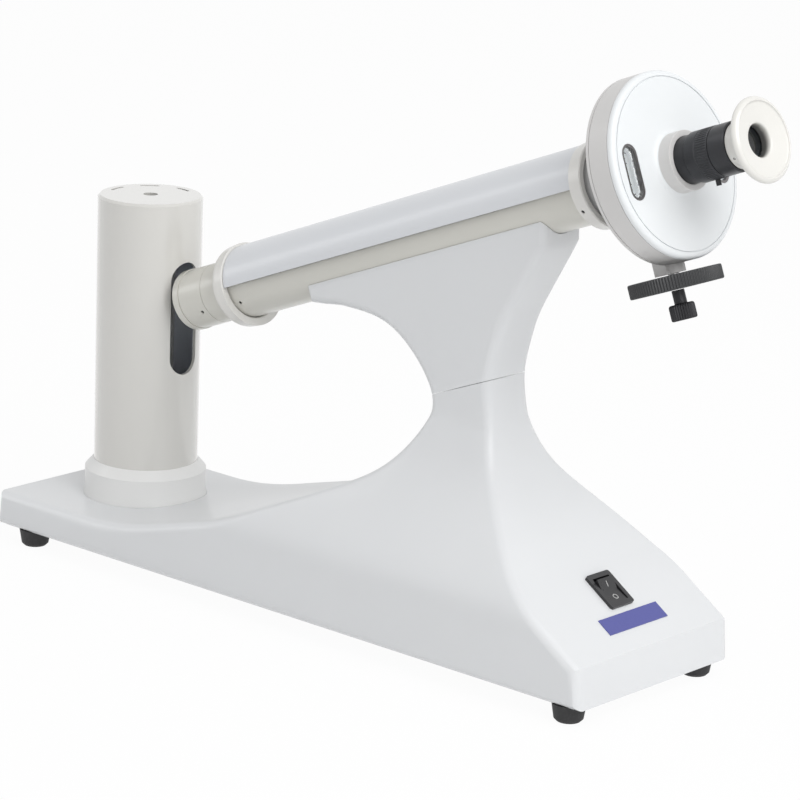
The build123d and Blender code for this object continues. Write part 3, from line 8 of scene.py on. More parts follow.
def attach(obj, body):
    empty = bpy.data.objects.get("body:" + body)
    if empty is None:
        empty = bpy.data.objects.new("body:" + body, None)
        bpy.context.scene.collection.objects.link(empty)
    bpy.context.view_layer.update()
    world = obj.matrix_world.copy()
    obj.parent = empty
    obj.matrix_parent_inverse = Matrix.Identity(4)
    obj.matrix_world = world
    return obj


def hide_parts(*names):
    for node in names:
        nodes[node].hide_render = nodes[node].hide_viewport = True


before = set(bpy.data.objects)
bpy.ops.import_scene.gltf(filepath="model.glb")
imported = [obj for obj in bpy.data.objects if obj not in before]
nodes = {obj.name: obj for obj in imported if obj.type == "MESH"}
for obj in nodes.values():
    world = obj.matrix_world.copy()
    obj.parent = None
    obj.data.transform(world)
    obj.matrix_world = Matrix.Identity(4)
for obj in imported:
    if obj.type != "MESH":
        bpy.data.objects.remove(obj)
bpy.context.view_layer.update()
scene = bpy.context.scene

# Line of sight of the tube: a point on it, its direction and the square-up direction
TILT = math.radians(21.5)
SIGHT = np.array((0.00775, 0.0, 0.2188))
ALONG = np.array((math.cos(TILT), 0.0, math.sin(TILT)))
ACROSS = np.array((0.0, 1.0, 0.0))
UPWARD = np.array((-math.sin(TILT), 0.0, math.cos(TILT)))
MM = 0.001

# Axis of the handwheel's drive: its place along the line of sight
DRIVE_AT = 180.0


# Shader building blocks
FLOAT = "NodeSocketFloat"
COLOR = "NodeSocketColor"
VECTOR = "NodeSocketVector"


def group_tree(name, inputs, outputs):
    """Empty shader group with named inputs (name, kind, default) and named outputs (name, kind)."""
    tree = bpy.data.node_groups.new(name, "ShaderNodeTree")
    for label, kind, default in inputs:
        socket = tree.interface.new_socket(label, in_out="INPUT", socket_type=kind)
        if default is not None:
            socket.default_value = default
    for label, kind in outputs:
        tree.interface.new_socket(label, in_out="OUTPUT", socket_type=kind)
    return tree, tree.nodes.new("NodeGroupInput"), tree.nodes.new("NodeGroupOutput")


def feed(tree, socket, value):
    """Gives a socket its value: by a link where the value is a socket, else as a constant."""
    if isinstance(value, bpy.types.NodeSocket):
        tree.links.new(value, socket)
    else:
        socket.default_value = value


def add_math(tree, operation, *operands):
    """Math node whose operands are numbers or sockets; gives its result."""
    node = tree.nodes.new("ShaderNodeMath")
    node.operation = operation
    for socket, operand in zip(node.inputs, operands):
        feed(tree, socket, operand)
    return node.outputs[0]


def add_noise(tree, coord, scale, detail=2.0):
    """Noise over the object's own coordinates; gives its level."""
    node = tree.nodes.new("ShaderNodeTexNoise")
    node.inputs["Detail"].default_value = detail
    feed(tree, node.inputs["Scale"], scale)
    tree.links.new(coord.outputs["Object"], node.inputs["Vector"])
    return node.outputs["Fac"]


def add_mix(tree, share, first, second):
    """Colour between two, each a socket or four numbers: the first at share 0, the second at share 1."""
    node = tree.nodes.new("ShaderNodeMix")
    node.data_type = "RGBA"
    tree.links.new(share, node.inputs["Factor"])
    feed(tree, node.inputs[6], first)
    feed(tree, node.inputs[7], second)
    return node.outputs[2]


def vary_tone(tree, given, centred, share):
    """Base colour times (1 + share * centred noise)."""
    node = tree.nodes.new("ShaderNodeVectorMath")
    node.operation = "SCALE"
    tree.links.new(given["Base"], node.inputs[0])
    tree.links.new(add_math(tree, "MULTIPLY_ADD", centred, share, 1.0), node.inputs["Scale"])
    return node.outputs[0]


def vary_rough(tree, given, centred):
    """Roughness plus its spread times a centred noise."""
    return add_math(tree, "MULTIPLY_ADD", centred, given["Rough Spread"], given["Rough"])


DUST_TONE = (0.62, 0.60, 0.57, 1)
DUST_FROM = 0.70
DUST_FULL = 0.78


def build_enamel_group():
    """Sprayed enamel: slow tone drift, fine orange peel and specks of dust.

    Tone = base times (1 + drift * (slow noise - 0.5)), mixed with dust where a high noise passes its
    threshold; roughness = base + spread * (slow noise - 0.5); height = the peel's noise."""
    tree, source, sink = group_tree(
        "sprayed_enamel",
        [("Base", COLOR, (0.8, 0.8, 0.8, 1)), ("Drift", FLOAT, 0.04), ("Peel Scale", FLOAT, 900.0),
         ("Rough", FLOAT, 0.35), ("Rough Spread", FLOAT, 0.12), ("Dust", FLOAT, 0.1)],
        [("Color", COLOR), ("Roughness", FLOAT), ("Height", FLOAT)],
    )
    given = source.outputs
    coord = tree.nodes.new("ShaderNodeTexCoord")
    slow = add_noise(tree, coord, 9.0, detail=3.0)
    peel = add_noise(tree, coord, given["Peel Scale"])
    speck = add_noise(tree, coord, 1400.0, detail=1.0)
    centred = add_math(tree, "SUBTRACT", slow, 0.5)
    tone = vary_tone(tree, given, centred, given["Drift"])
    dust_step = tree.nodes.new("ShaderNodeMapRange")
    dust_step.inputs["From Min"].default_value = DUST_FROM
    dust_step.inputs["From Max"].default_value = DUST_FULL
    tree.links.new(speck, dust_step.inputs["Value"])
    dust = add_math(tree, "MULTIPLY", dust_step.outputs[0], given["Dust"])
    tree.links.new(add_mix(tree, dust, tone, DUST_TONE), sink.inputs["Color"])
    tree.links.new(vary_rough(tree, given, centred), sink.inputs["Roughness"])
    tree.links.new(peel, sink.inputs["Height"])
    return tree


def build_turned_group():
    """Lathe-turned or brushed metal: fine rings along an axis.

    Position along the axis = dot(object position, axis); rings = noise of that one number,
    so the colour and height change only along the axis; roughness follows the same noise."""
    tree, source, sink = group_tree(
        "turned_metal",
        [("Base", COLOR, (0.7, 0.7, 0.7, 1)), ("Axis", VECTOR, (1.0, 0.0, 0.0)), ("Pitch", FLOAT, 2500.0),
         ("Contrast", FLOAT, 0.25), ("Rough", FLOAT, 0.3), ("Rough Spread", FLOAT, 0.2)],
        [("Color", COLOR), ("Roughness", FLOAT), ("Height", FLOAT)],
    )
    given = source.outputs
    coord = tree.nodes.new("ShaderNodeTexCoord")
    dot = tree.nodes.new("ShaderNodeVectorMath")
    dot.operation = "DOT_PRODUCT"
    tree.links.new(coord.outputs["Object"], dot.inputs[0])
    tree.links.new(given["Axis"], dot.inputs[1])
    rings = tree.nodes.new("ShaderNodeTexNoise")
    rings.noise_dimensions = "1D"
    rings.inputs["Detail"].default_value = 4.0
    tree.links.new(dot.outputs["Value"], rings.inputs["W"])
    tree.links.new(given["Pitch"], rings.inputs["Scale"])
    centred = add_math(tree, "SUBTRACT", rings.outputs["Fac"], 0.5)
    tree.links.new(vary_tone(tree, given, centred, given["Contrast"]), sink.inputs["Color"])
    tree.links.new(vary_rough(tree, given, centred), sink.inputs["Roughness"])
    tree.links.new(rings.outputs["Fac"], sink.inputs["Height"])
    return tree


def build_moulded_group():
    """Moulded plastic or rubber: fine spark-erosion grain, lighter on its high spots.

    Tone = base times (1 + lift * (grain - 0.5)); roughness spreads with a slower noise; height = grain."""
    tree, source, sink = group_tree(
        "moulded_grain",
        [("Base", COLOR, (0.05, 0.05, 0.05, 1)), ("Grain Scale", FLOAT, 1600.0), ("Lift", FLOAT, 0.3),
         ("Rough", FLOAT, 0.5), ("Rough Spread", FLOAT, 0.15)],
        [("Color", COLOR), ("Roughness", FLOAT), ("Height", FLOAT)],
    )
    given = source.outputs
    coord = tree.nodes.new("ShaderNodeTexCoord")
    grain = add_noise(tree, coord, given["Grain Scale"], detail=3.0)
    slow = add_noise(tree, coord, 60.0)
    raised = add_math(tree, "SUBTRACT", grain, 0.5)
    worn = add_math(tree, "SUBTRACT", slow, 0.5)
    tree.links.new(vary_tone(tree, given, raised, given["Lift"]), sink.inputs["Color"])
    tree.links.new(vary_rough(tree, given, worn), sink.inputs["Roughness"])
    tree.links.new(grain, sink.inputs["Height"])
    return tree


ENAMEL = build_enamel_group()
TURNED = build_turned_group()
MOULDED = build_moulded_group()


def finish_material(name, group, values, bump, fixed):
    """Material whose colour, roughness and bump come from a group; fixed holds the shader's own values."""
    material = bpy.data.materials.new(name)
    material.use_nodes = True
    tree = material.node_tree
    shader = tree.nodes["Principled BSDF"]
    effect = tree.nodes.new("ShaderNodeGroup")
    effect.node_tree = group
    for label, value in values.items():
        effect.inputs[label].default_value = value
    tree.links.new(effect.outputs["Color"], shader.inputs["Base Color"])
    tree.links.new(effect.outputs["Roughness"], shader.inputs["Roughness"])
    relief = tree.nodes.new("ShaderNodeBump")
    relief.inputs["Strength"].default_value = bump[0]
    relief.inputs["Distance"].default_value = bump[1] * MM
    tree.links.new(effect.outputs["Height"], relief.inputs["Height"])
    tree.links.new(relief.outputs["Normal"], shader.inputs["Normal"])
    for label, value in fixed.items():
        shader.inputs[label].default_value = value
    return material


def enamel(name, base, rough=0.34, coat=0.25, peel=700.0, drift=0.03, dust=0.05, bump=(0.10, 0.02)):
    """Sprayed paint with a thin clear top layer."""
    values = {"Base": (*base, 1), "Rough": rough, "Peel Scale": peel, "Drift": drift, "Dust": dust}
    fixed = {"Coat Weight": coat, "Coat Roughness": 0.12, "Specular IOR Level": 0.5}
    return finish_material(name, ENAMEL, values, bump, fixed)


def turned(name, base, axis, rough=0.3, metallic=1.0, contrast=0.2, pitch=2500.0, bump=(0.12, 0.01)):
    """Turned metal with rings along an axis."""
    values = {"Base": (*base, 1), "Axis": tuple(axis), "Rough": rough, "Contrast": contrast, "Pitch": pitch}
    return finish_material(name, TURNED, values, bump, {"Metallic": metallic})


def moulded(name, base, rough=0.5, grain=1600.0, lift=0.3, bump=(0.2, 0.02), coat=0.0):
    """Moulded plastic or rubber."""
    values = {"Base": (*base, 1), "Rough": rough, "Grain Scale": grain, "Lift": lift}
    return finish_material(name, MOULDED, values, bump, {"Coat Weight": coat})


def lens_glass(name, tint, rough=0.02):
    """Clear or tinted glass; the tint drifts by 3 percent with a slow noise."""
    material = bpy.data.materials.new(name)
    material.use_nodes = True
    tree = material.node_tree
    shader = tree.nodes["Principled BSDF"]
    slow = add_noise(tree, tree.nodes.new("ShaderNodeTexCoord"), 150.0)
    drifted = add_mix(tree, slow, (*[level * 0.97 for level in tint], 1), (*tint, 1))
    tree.links.new(drifted, shader.inputs["Base Color"])
    shader.inputs["Roughness"].default_value = rough
    shader.inputs["Transmission Weight"].default_value = 1.0
    shader.inputs["IOR"].default_value = 1.5
    return material


# Finishes of this object
stand_white = enamel("stand_enamel", (0.705, 0.715, 0.725), rough=0.38, coat=0.2)
tube_grey = enamel("tube_enamel", (0.62, 0.61, 0.56), rough=0.3, coat=0.3)
cup_white = enamel("ring_enamel", (0.72, 0.71, 0.68), rough=0.3, coat=0.3)
column_grey = enamel("column_enamel", (0.63, 0.62, 0.59), rough=0.16, coat=1.0, drift=0.02, bump=(0.03, 0.01))
# The lining's pale colour is lightened to stand in for the light inside the column: painted light.
column_inside_painted_light = enamel("column_lining", (0.80, 0.84, 0.92), rough=0.5, coat=0.0)
lid_white = enamel("lid_enamel", (0.66, 0.675, 0.70), rough=0.32, coat=0.3)
collar_grey = enamel("collar_enamel", (0.76, 0.76, 0.75), rough=0.4, coat=0.15, peel=500.0, bump=(0.2, 0.03))
dial_white = enamel("dial_enamel", (0.74, 0.76, 0.77), rough=0.42, coat=0.1, bump=(0.15, 0.02))
rim_grey = enamel("dial_rim_enamel", (0.61, 0.60, 0.59), rough=0.42, coat=0.1, bump=(0.15, 0.02))
black_anodised = turned(
    "black_anodised", (0.035, 0.036, 0.04), ALONG, rough=0.36, metallic=0.55, contrast=0.4)
black_steel_knob = turned(
    "black_knob_metal", (0.03, 0.03, 0.033), UPWARD, rough=0.4, metallic=0.5, contrast=0.4)
neck_grey = turned("neck_metal", (0.30, 0.30, 0.30), ALONG, rough=0.35, metallic=0.8)
bare_alloy = turned("bare_alloy", (0.62, 0.63, 0.64), ALONG, rough=0.32)
drive_steel = turned("drive_steel", (0.55, 0.55, 0.56), UPWARD, rough=0.28)
bush_metal = turned("bush_brass", (0.55, 0.42, 0.22), UPWARD, rough=0.3)
hub_brass = turned("hub_brass", (0.58, 0.45, 0.24), ALONG, rough=0.3)
zinc_steel = turned("zinc_plate", (0.55, 0.56, 0.58), (0, 0, 1), rough=0.35, contrast=0.15)
wheel_black = moulded("wheel_black", (0.028, 0.029, 0.031), rough=0.42, lift=0.4)
switch_black = moulded("switch_black", (0.022, 0.022, 0.024), rough=0.3, grain=2200.0, bump=(0.12, 0.01))
gland_black = moulded("gland_black", (0.03, 0.03, 0.032), rough=0.45)
foot_rubber = moulded("foot_rubber", (0.03, 0.03, 0.031), rough=0.7, grain=900.0, lift=0.5, bump=(0.3, 0.05))
cup_beige = moulded(
    "eyecup_beige", (0.70, 0.69, 0.655), rough=0.32, grain=1200.0, lift=0.04, bump=(0.06, 0.01), coat=0.3)
core_iron = turned("core_laminations", (0.25, 0.25, 0.27), (0, 1, 0), rough=0.5, pitch=1800.0, contrast=0.8)
coil_tape = moulded("coil_tape", (0.60, 0.42, 0.12), rough=0.4, grain=500.0, coat=0.2)
lamp_ceramic = moulded("socket_ceramic", (0.72, 0.68, 0.60), rough=0.3, grain=300.0, lift=0.05, coat=0.4)
clear_glass = lens_glass("clear_glass", (0.95, 0.98, 0.98))
frosted_glass = lens_glass("frosted_glass", (0.95, 0.96, 0.96), rough=0.5)
amber_glass = lens_glass("amber_glass", (0.95, 0.55, 0.12))
film_glass = lens_glass("polarizing_film", (0.35, 0.37, 0.34), rough=0.05)
lamp_glass = lens_glass("lamp_envelope", (0.9, 0.88, 0.82), rough=0.15)
label_blue = moulded(
    "label_blue", (0.062, 0.070, 0.30), rough=0.35, grain=700.0, lift=0.12, bump=(0.05, 0.01), coat=0.3)
# The scale plates of the dial and the verniers glow faintly (emission 0.4): painted light standing in for the
# daylight that reaches the scales through the windows.
glowing_scale_metal = enamel("scale_plate_painted_glow", (0.85, 0.85, 0.84), rough=0.35, coat=0.0)
scale_glow_shader = glowing_scale_metal.node_tree.nodes["Principled BSDF"]
scale_glow_shader.inputs["Emission Color"].default_value = (0.85, 0.87, 0.9, 1)
scale_glow_shader.inputs["Emission Strength"].default_value = 0.4
frame_alloy = turned("window_frame_metal", (0.22, 0.21, 0.21), ALONG, rough=0.4)
# The eyepiece lens is tinted dark grey so the eyepiece's hole looks dark: painted shade inside the eyepiece.
eye_glass_painted_shade = lens_glass("eye_lens_shaded_glass", (0.30, 0.33, 0.36))
mark_black = moulded("scale_ink", (0.012, 0.012, 0.014), rough=0.6, bump=(0.02, 0.01))
mark_white = moulded("mark_paint", (0.50, 0.50, 0.49), rough=0.5, bump=(0.02, 0.01))

FINISH = {
    "base_casting": stand_white, "saddle_bracket": stand_white, "bottom_plate": zinc_steel,
    "foot_front_near": foot_rubber, "foot_front_far": foot_rubber,
    "foot_rear_near": foot_rubber, "foot_rear_far": foot_rubber,
    "seam_bolt_rear": zinc_steel, "seam_bolt_front": zinc_steel,
    "lamp_collar": collar_grey, "column_shell": column_grey, "column_cap": column_grey,
    "lamp_socket": lamp_ceramic, "sodium_lamp": lamp_glass,
    "ballast_core": core_iron, "ballast_coil": coil_tape, "cord_gland": gland_black,
    "switch_bezel": switch_black, "switch_rocker": switch_black, "name_plate": label_blue,
    "rear_flange": tube_grey, "rear_barrel": tube_grey, "rear_sleeve": tube_grey, "rear_cup": cup_white,
    "ground_glass": frosted_glass, "condenser_lens": clear_glass, "colour_filter": amber_glass,
    "polarizer": film_glass, "half_wave_plate": film_glass,
    "main_tube": tube_grey, "lid_shell": lid_white, "front_ring": cup_white, "neck_tube": neck_grey,
    "dial_housing": rim_grey, "dial_cover": dial_white,
    "window_frame_near": frame_alloy, "window_frame_far": frame_alloy,
    "window_glass_near": clear_glass, "window_glass_far": clear_glass,
    "vernier_near": glowing_scale_metal, "vernier_far": glowing_scale_metal,
    "dial_hub": hub_brass, "dial_disc": glowing_scale_metal, "analyzer": film_glass,
    "drive_pinion": hub_brass, "drive_shaft": drive_steel, "shaft_bush": bush_metal,
    "handwheel": wheel_black, "fine_knob": black_steel_knob,
    "eyepiece_tube": black_anodised, "objective_lens": clear_glass, "focus_ring": black_anodised,
    "guide_screw": black_steel_knob, "ocular_barrel": black_anodised,
    "eyecup": cup_beige, "eye_lens": eye_glass_painted_shade,
    "sample_tube": clear_glass, "sample_cap_rear": bare_alloy, "sample_cap_front": bare_alloy,
}

# Joining of the CAD nodes' loose faces: reach in millimetres and the angle of an edge that stays sharp
JOIN_REACH = 0.002
SHARP_EDGE = math.radians(32)


def dress(node_name, material):
    """Gives a CAD node its finish and joins its loose faces into smooth ones, split at sharp edges."""
    node = nodes[node_name]
    node.data.materials.clear()
    node.data.materials.append(material)
    weld = node.modifiers.new("join_faces", "WELD")
    weld.merge_threshold = JOIN_REACH * MM
    split = node.modifiers.new("keep_sharp_edges", "EDGE_SPLIT")
    split.split_angle = SHARP_EDGE
    node.data.polygons.foreach_set("use_smooth", np.ones(len(node.data.polygons), dtype=bool))


for node_name, material in FINISH.items():
    dress(node_name, material)


# Meshes from grids of points
def grid_mesh(name, points, closed_u=False, closed_v=False):
    """Mesh from a grid of points (rows, columns, 3): one quad between four neighbours."""
    rows, columns = points.shape[:2]
    row = np.arange(rows if closed_u else rows - 1)
    column = np.arange(columns if closed_v else columns - 1)
    a, b = np.meshgrid(row, column, indexing="ij")
    a_next, b_next = (a + 1) % rows, (b + 1) % columns
    corners = [(a, b), (a_next, b), (a_next, b_next), (a, b_next)]
    faces = np.stack([at_row * columns + at_column for at_row, at_column in corners], -1).reshape(-1, 4)
    mesh = bpy.data.meshes.new(name)
    mesh.vertices.add(rows * columns)
    mesh.vertices.foreach_set("co", points.reshape(-1).astype(np.float32))
    mesh.loops.add(faces.size)
    mesh.loops.foreach_set("vertex_index", faces.reshape(-1).astype(np.int32))
    mesh.polygons.add(len(faces))
    mesh.polygons.foreach_set("loop_start", (np.arange(len(faces)) * 4).astype(np.int32))
    mesh.polygons.foreach_set("use_smooth", np.ones(len(faces), dtype=bool))
    mesh.update(calc_edges=True)
    mesh.validate()
    piece = bpy.data.objects.new(name, mesh)
    scene.collection.objects.link(piece)
    return piece


# Floor, backdrop, lights and camera
FLOOR_HALF = 6.0
FLOOR_SHARE = 0.95
FILL_TINT = (0.985, 0.99, 1.0, 1)
FILL_LEVEL = 0.61
OBJECT_MIDDLE = (0.0, 0.0, 0.14)


def seen_rays(tree):
    """Socket that is 1 for rays from the camera, from a reflection or through glass."""
    path = tree.nodes.new("ShaderNodeLightPath")
    either = add_math(tree, "MAXIMUM", path.outputs["Is Camera Ray"], path.outputs["Is Transmission Ray"])
    return add_math(tree, "MAXIMUM", either, path.outputs["Is Glossy Ray"])


def mix_surface(tree, share, unseen, seen, out):
    """Joins two shaders by a share and leads them to the tree's surface."""
    mix = tree.nodes.new("ShaderNodeMixShader")
    tree.links.new(share, mix.inputs["Fac"])
    tree.links.new(unseen, mix.inputs[1])
    tree.links.new(seen, mix.inputs[2])
    tree.links.new(mix.outputs["Shader"], tree.nodes[out].inputs["Surface"])


def studio_floor():
    """Flat square at z = 0; where it is seen it is mostly plain white, with a part of its real shading."""
    ticks = np.linspace(-FLOOR_HALF, FLOOR_HALF, 3)
    x, y = np.meshgrid(ticks, ticks, indexing="ij")
    floor = grid_mesh("studio_floor", np.stack([x, y, np.zeros_like(x)], -1))
    material = bpy.data.materials.new("studio_white")
    material.use_nodes = True
    tree = material.node_tree
    shader = tree.nodes["Principled BSDF"]
    shader.inputs["Base Color"].default_value = (0.86, 0.86, 0.86, 1)
    shader.inputs["Roughness"].default_value = 0.9
    shader.inputs["Specular IOR Level"].default_value = 0.1
    glow = tree.nodes.new("ShaderNodeEmission")
    glow.inputs["Color"].default_value = (1, 1, 1, 1)
    glow.inputs["Strength"].default_value = 1.0
    share = add_math(tree, "MULTIPLY", seen_rays(tree), FLOOR_SHARE)
    mix_surface(tree, share, shader.outputs["BSDF"], glow.outputs["Emission"], "Material Output")
    floor.data.materials.append(material)


def studio_world():
    """World that is plain white where it is seen, and a soft fill light elsewhere."""
    world = bpy.data.worlds.new("studio_world")
    world.use_nodes = True
    scene.world = world
    tree = world.node_tree
    backdrop = tree.nodes["Background"]
    backdrop.inputs["Color"].default_value = (1, 1, 1, 1)
    backdrop.inputs["Strength"].default_value = 1.0
    soft_fill = tree.nodes.new("ShaderNodeBackground")
    soft_fill.inputs["Color"].default_value = FILL_TINT
    soft_fill.inputs["Strength"].default_value = FILL_LEVEL
    mix_surface(tree, seen_rays(tree), soft_fill.outputs["Background"], backdrop.outputs["Background"],
                "World Output")


def soft_box(name, place, width, height, power):
    """Rectangular lamp at a place, turned to the middle of the object."""
    lamp = bpy.data.lights.new(name, "AREA")
    lamp.shape = "RECTANGLE"
    lamp.size = width
    lamp.size_y = height
    lamp.energy = power
    holder = bpy.data.objects.new(name, lamp)
    scene.collection.objects.link(holder)
    holder.location = place
    holder.rotation_euler = (Vector(OBJECT_MIDDLE) - Vector(place)).to_track_quat("-Z", "Y").to_euler()


studio_floor()
studio_world()
soft_box("key_over", (1.4, -0.25, 1.6), 1.4, 1.4, 23)
soft_box("side_left", (-1.8, -0.9, 0.9), 0.4, 1.6, 4)
soft_box("side_right", (1.9, -0.9, 0.6), 0.8, 1.2, 4)

# Camera fitted to the photo: turn, pitch, roll, distance and focal length in units of the frame's width
CAMERA_TURN = math.radians(41.32)
CAMERA_PITCH = math.radians(14.99)
CAMERA_ROLL = math.radians(2.14)
CAMERA_DISTANCE = 1.9886
CAMERA_TARGET = np.array((0.00945, 0.00005, 0.1279))
FOCAL_IN_WIDTHS = 4.4566
PRINCIPAL_SHIFT = (0.0012, 0.0011)
SENSOR_WIDTH = 36.0


def photo_camera():
    """Camera at its distance from the target, turned by turn and pitch, then rolled about its view."""
    forward = np.array((-math.sin(CAMERA_TURN) * math.cos(CAMERA_PITCH),
                        math.cos(CAMERA_TURN) * math.cos(CAMERA_PITCH),
                        -math.sin(CAMERA_PITCH)))
    level_right = np.array((math.cos(CAMERA_TURN), math.sin(CAMERA_TURN), 0.0))
    level_up = np.cross(level_right, forward)
    right = level_right * math.cos(CAMERA_ROLL) + level_up * math.sin(CAMERA_ROLL)
    up = -level_right * math.sin(CAMERA_ROLL) + level_up * math.cos(CAMERA_ROLL)
    eye = CAMERA_TARGET - forward * CAMERA_DISTANCE
    lens = bpy.data.cameras.new("photo_camera")
    lens.sensor_width = SENSOR_WIDTH
    lens.lens = FOCAL_IN_WIDTHS * SENSOR_WIDTH
    lens.shift_x, lens.shift_y = PRINCIPAL_SHIFT
    lens.clip_end = 50.0
    camera = bpy.data.objects.new("photo_camera", lens)
    scene.collection.objects.link(camera)
    camera.matrix_world = Matrix(np.column_stack([right, up, -forward, eye]).tolist() + [[0, 0, 0, 1]])
    return camera


scene.camera = photo_camera()
scene.view_settings.view_transform = "Standard"


# Points of the pieces
def spread(origin, *ways):
    """Origin in metres plus, for each way (amount, direction), that many millimetres of the direction."""
    amounts = np.broadcast_arrays(*[np.asarray(amount, float) for amount, _ in ways])
    return origin + MM * sum(amount[..., None] * way for amount, (_, way) in zip(amounts, ways))


def sight_point(along, out, turn):
    """Points at a length along the line of sight, a radius and an angle round it.

    point = sight + along*A + out*(cos(turn)*far side + sin(turn)*square up)."""
    return spread(SIGHT, (along, ALONG), (out * np.cos(turn), ACROSS), (out * np.sin(turn), UPWARD))


def drive_point(height, out, turn):
    """Points round the drive's axis: height over the line of sight, radius and angle."""
    return spread(SIGHT + MM * DRIVE_AT * ALONG,
                  (height, UPWARD), (out * np.cos(turn), ALONG), (out * np.sin(turn), ACROSS))


def upright_point(x, y):
    """Placing function for an upright axis at x, y: height, radius and angle."""
    foot = MM * np.array((x, y, 0.0))
    length_way, side_way, up_way = np.eye(3)

    def place(height, out, turn):
        return spread(foot, (height, up_way), (out * np.cos(turn), length_way), (out * np.sin(turn), side_way))
    return place


CORNER_SHARE = 0.48
POLE_R = 0.001


def rounded_path(corners, radius, steps=5):
    """Polyline through corners with each inner corner replaced by a quadratic curve of that size.

    Between the points one radius before and after a corner: (1-t)^2 a + 2t(1-t) corner + t^2 b.
    On a short side the radius is cut to a share of the side."""
    corners = np.asarray(corners, float)
    radii = np.broadcast_to(np.asarray(radius, float), (len(corners),))
    points = [corners[0]]
    t = np.linspace(0, 1, steps)[:, None]
    for before, corner, after, size in zip(corners[:-2], corners[1:-1], corners[2:], radii[1:-1]):
        back, ahead = before - corner, after - corner
        reach = min(size, CORNER_SHARE * np.linalg.norm(back), CORNER_SHARE * np.linalg.norm(ahead))
        a = corner + back / np.linalg.norm(back) * reach
        b = corner + ahead / np.linalg.norm(ahead) * reach
        points.extend((1 - t) ** 2 * a + 2 * t * (1 - t) * corner + t ** 2 * b)
    points.append(corners[-1])
    return np.array(points)


def ribbed_lathe(name, place, profile, ribs, depth, ribbed, per_rib=8):
    """Turned surface whose radius dips between ribs.

    radius(turn) = profile radius - depth * weight * cos(ribs*turn/2)^2, where the weight goes from 0 on
    a smooth row of the profile to 1 on a ribbed one; rows run along the profile, columns round the axis."""
    turn = np.linspace(0, 2 * np.pi, ribs * per_rib, endpoint=False)
    dip = depth * np.cos(ribs * turn / 2) ** 2
    radius = profile[:, 1][:, None] - ribbed[:, None] * dip[None, :]
    points = place(profile[:, 0][:, None], np.maximum(radius, POLE_R), turn[None, :])
    return grid_mesh(name, points, closed_v=True)


def turned_piece(name, place, profile, segments):
    """Plain turned surface: the profile (length, radius) swept round the axis."""
    turn = np.linspace(0, 2 * np.pi, segments, endpoint=False)
    points = place(profile[:, 0][:, None], profile[:, 1][:, None], turn[None, :])
    return grid_mesh(name, points, closed_v=True)


def seat_piece(piece, body, material, replaced=()):
    """Gives a piece its finish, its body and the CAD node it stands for."""
    piece.data.materials.append(material)
    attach(piece, body)
    if replaced:
        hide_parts(*replaced)
    return piece


def close_profile(outline, radius):
    """Closed profile of (length, radius) corners, each rounded, starting and ending in mid side."""
    outline = np.asarray(outline, float)
    middle = (outline[0] + outline[-1]) / 2
    return rounded_path(np.vstack([middle, outline, middle]), radius)


def rib_weight(profile, outer, reach, fade):
    """Weight of the ribs on a profile's rows: 0 up to a reach inside the outer radius, 1 past the fade."""
    return np.clip((profile[:, 1] - (outer - reach)) / fade, 0, 1)


# Coarse handwheel: rounded ribs round a flat rim, dished faces and a raised hub
WHEEL_TOP = -54.8
WHEEL_FOOT = -62.6


def coarse_wheel():
    """Rim R 25 with 96 ribs, faces dished 1.6 mm between R 21 and the hub of R 7."""
    top, foot, rim, web, hub, dish, bore = WHEEL_TOP, WHEEL_FOOT, 25.0, 21.0, 7.0, 1.6, 3.1
    outline = [(top, bore), (top, hub), (top - dish, hub), (top - dish, web), (top, web), (top, rim),
               (foot, rim), (foot, web), (foot + dish, web), (foot + dish, hub), (foot, hub), (foot, bore)]
    corner, rim_corner = 0.3, 1.0
    profile = close_profile(outline, [corner] * 6 + [rim_corner] * 2 + [corner] * 6)[::-1]
    ribbed = rib_weight(profile, rim, 0.75, 0.7)
    return ribbed_lathe("handwheel_ribbed", drive_point, profile, 96, 0.55, ribbed)


seat_piece(coarse_wheel(), "wheel", wheel_black, ["handwheel"])


# Fine knob under the handwheel
def small_knob():
    """Fine knob: stem R 3.4, head R 6.9 with 30 ribs, round shoulders and a dished end."""
    stem_top, head_top, head_foot = WHEEL_FOOT - 0.3, -70.2, -78.8
    stem, head, recess, dish = 3.4, 6.9, 3.9, 0.5
    outline = [(stem_top, 0.0), (stem_top, stem), (head_top, stem), (head_top, head), (head_foot, head),
               (head_foot, recess + dish), (head_foot + dish, recess), (head_foot + dish, 0.0)]
    corner, shoulder = 0.4, 2.8
    profile = rounded_path(outline, [corner] * 3 + [shoulder] * 2 + [corner] * 3, steps=9)[::-1]
    ribbed = rib_weight(profile, head, 0.8, 0.6)
    return ribbed_lathe("fine_knob_knurled", drive_point, profile, 30, 0.6, ribbed)


seat_piece(small_knob(), "fine", black_steel_knob, ["fine_knob"])


# Focusing ring
FOCUS_REAR = 215.0
FOCUS_FRONT = 230.2
FOCUS_RIBBED = (222.3, 229.8)


def focusing_grip():
    """Focusing ring R 13.5: smooth rear half, front half with 60 ribs, bore R 11.66.

    The front half's rows lie 1.25 mm apart and carry the ribs with full weight."""
    outer, bore, groove = 13.5, 11.66, 0.4
    start, stop = FOCUS_RIBBED
    outline = [(FOCUS_REAR, bore), (FOCUS_REAR, outer), (start - 0.9, outer), (start - 0.6, outer - groove),
               (start - 0.3, outer)]
    rows = [(length, outer) for length in np.linspace(start, stop, 7)]
    rear = rounded_path(outline + rows[:1], 0.2)
    front = rounded_path(rows[-1:] + [(FOCUS_FRONT, outer), (FOCUS_FRONT, bore)], 0.3)
    profile = np.vstack([rear, rows[1:-1], front, rear[:1]])
    length, radius = profile.T
    ribbed = (length > start + 0.1) & (length < stop - 0.1) & (radius > outer - 0.3)
    return ribbed_lathe("focus_grip", sight_point, profile, 60, 0.4, ribbed.astype(float), per_rib=6)


seat_piece(focusing_grip(), "focus", black_anodised, ["focus_ring"])


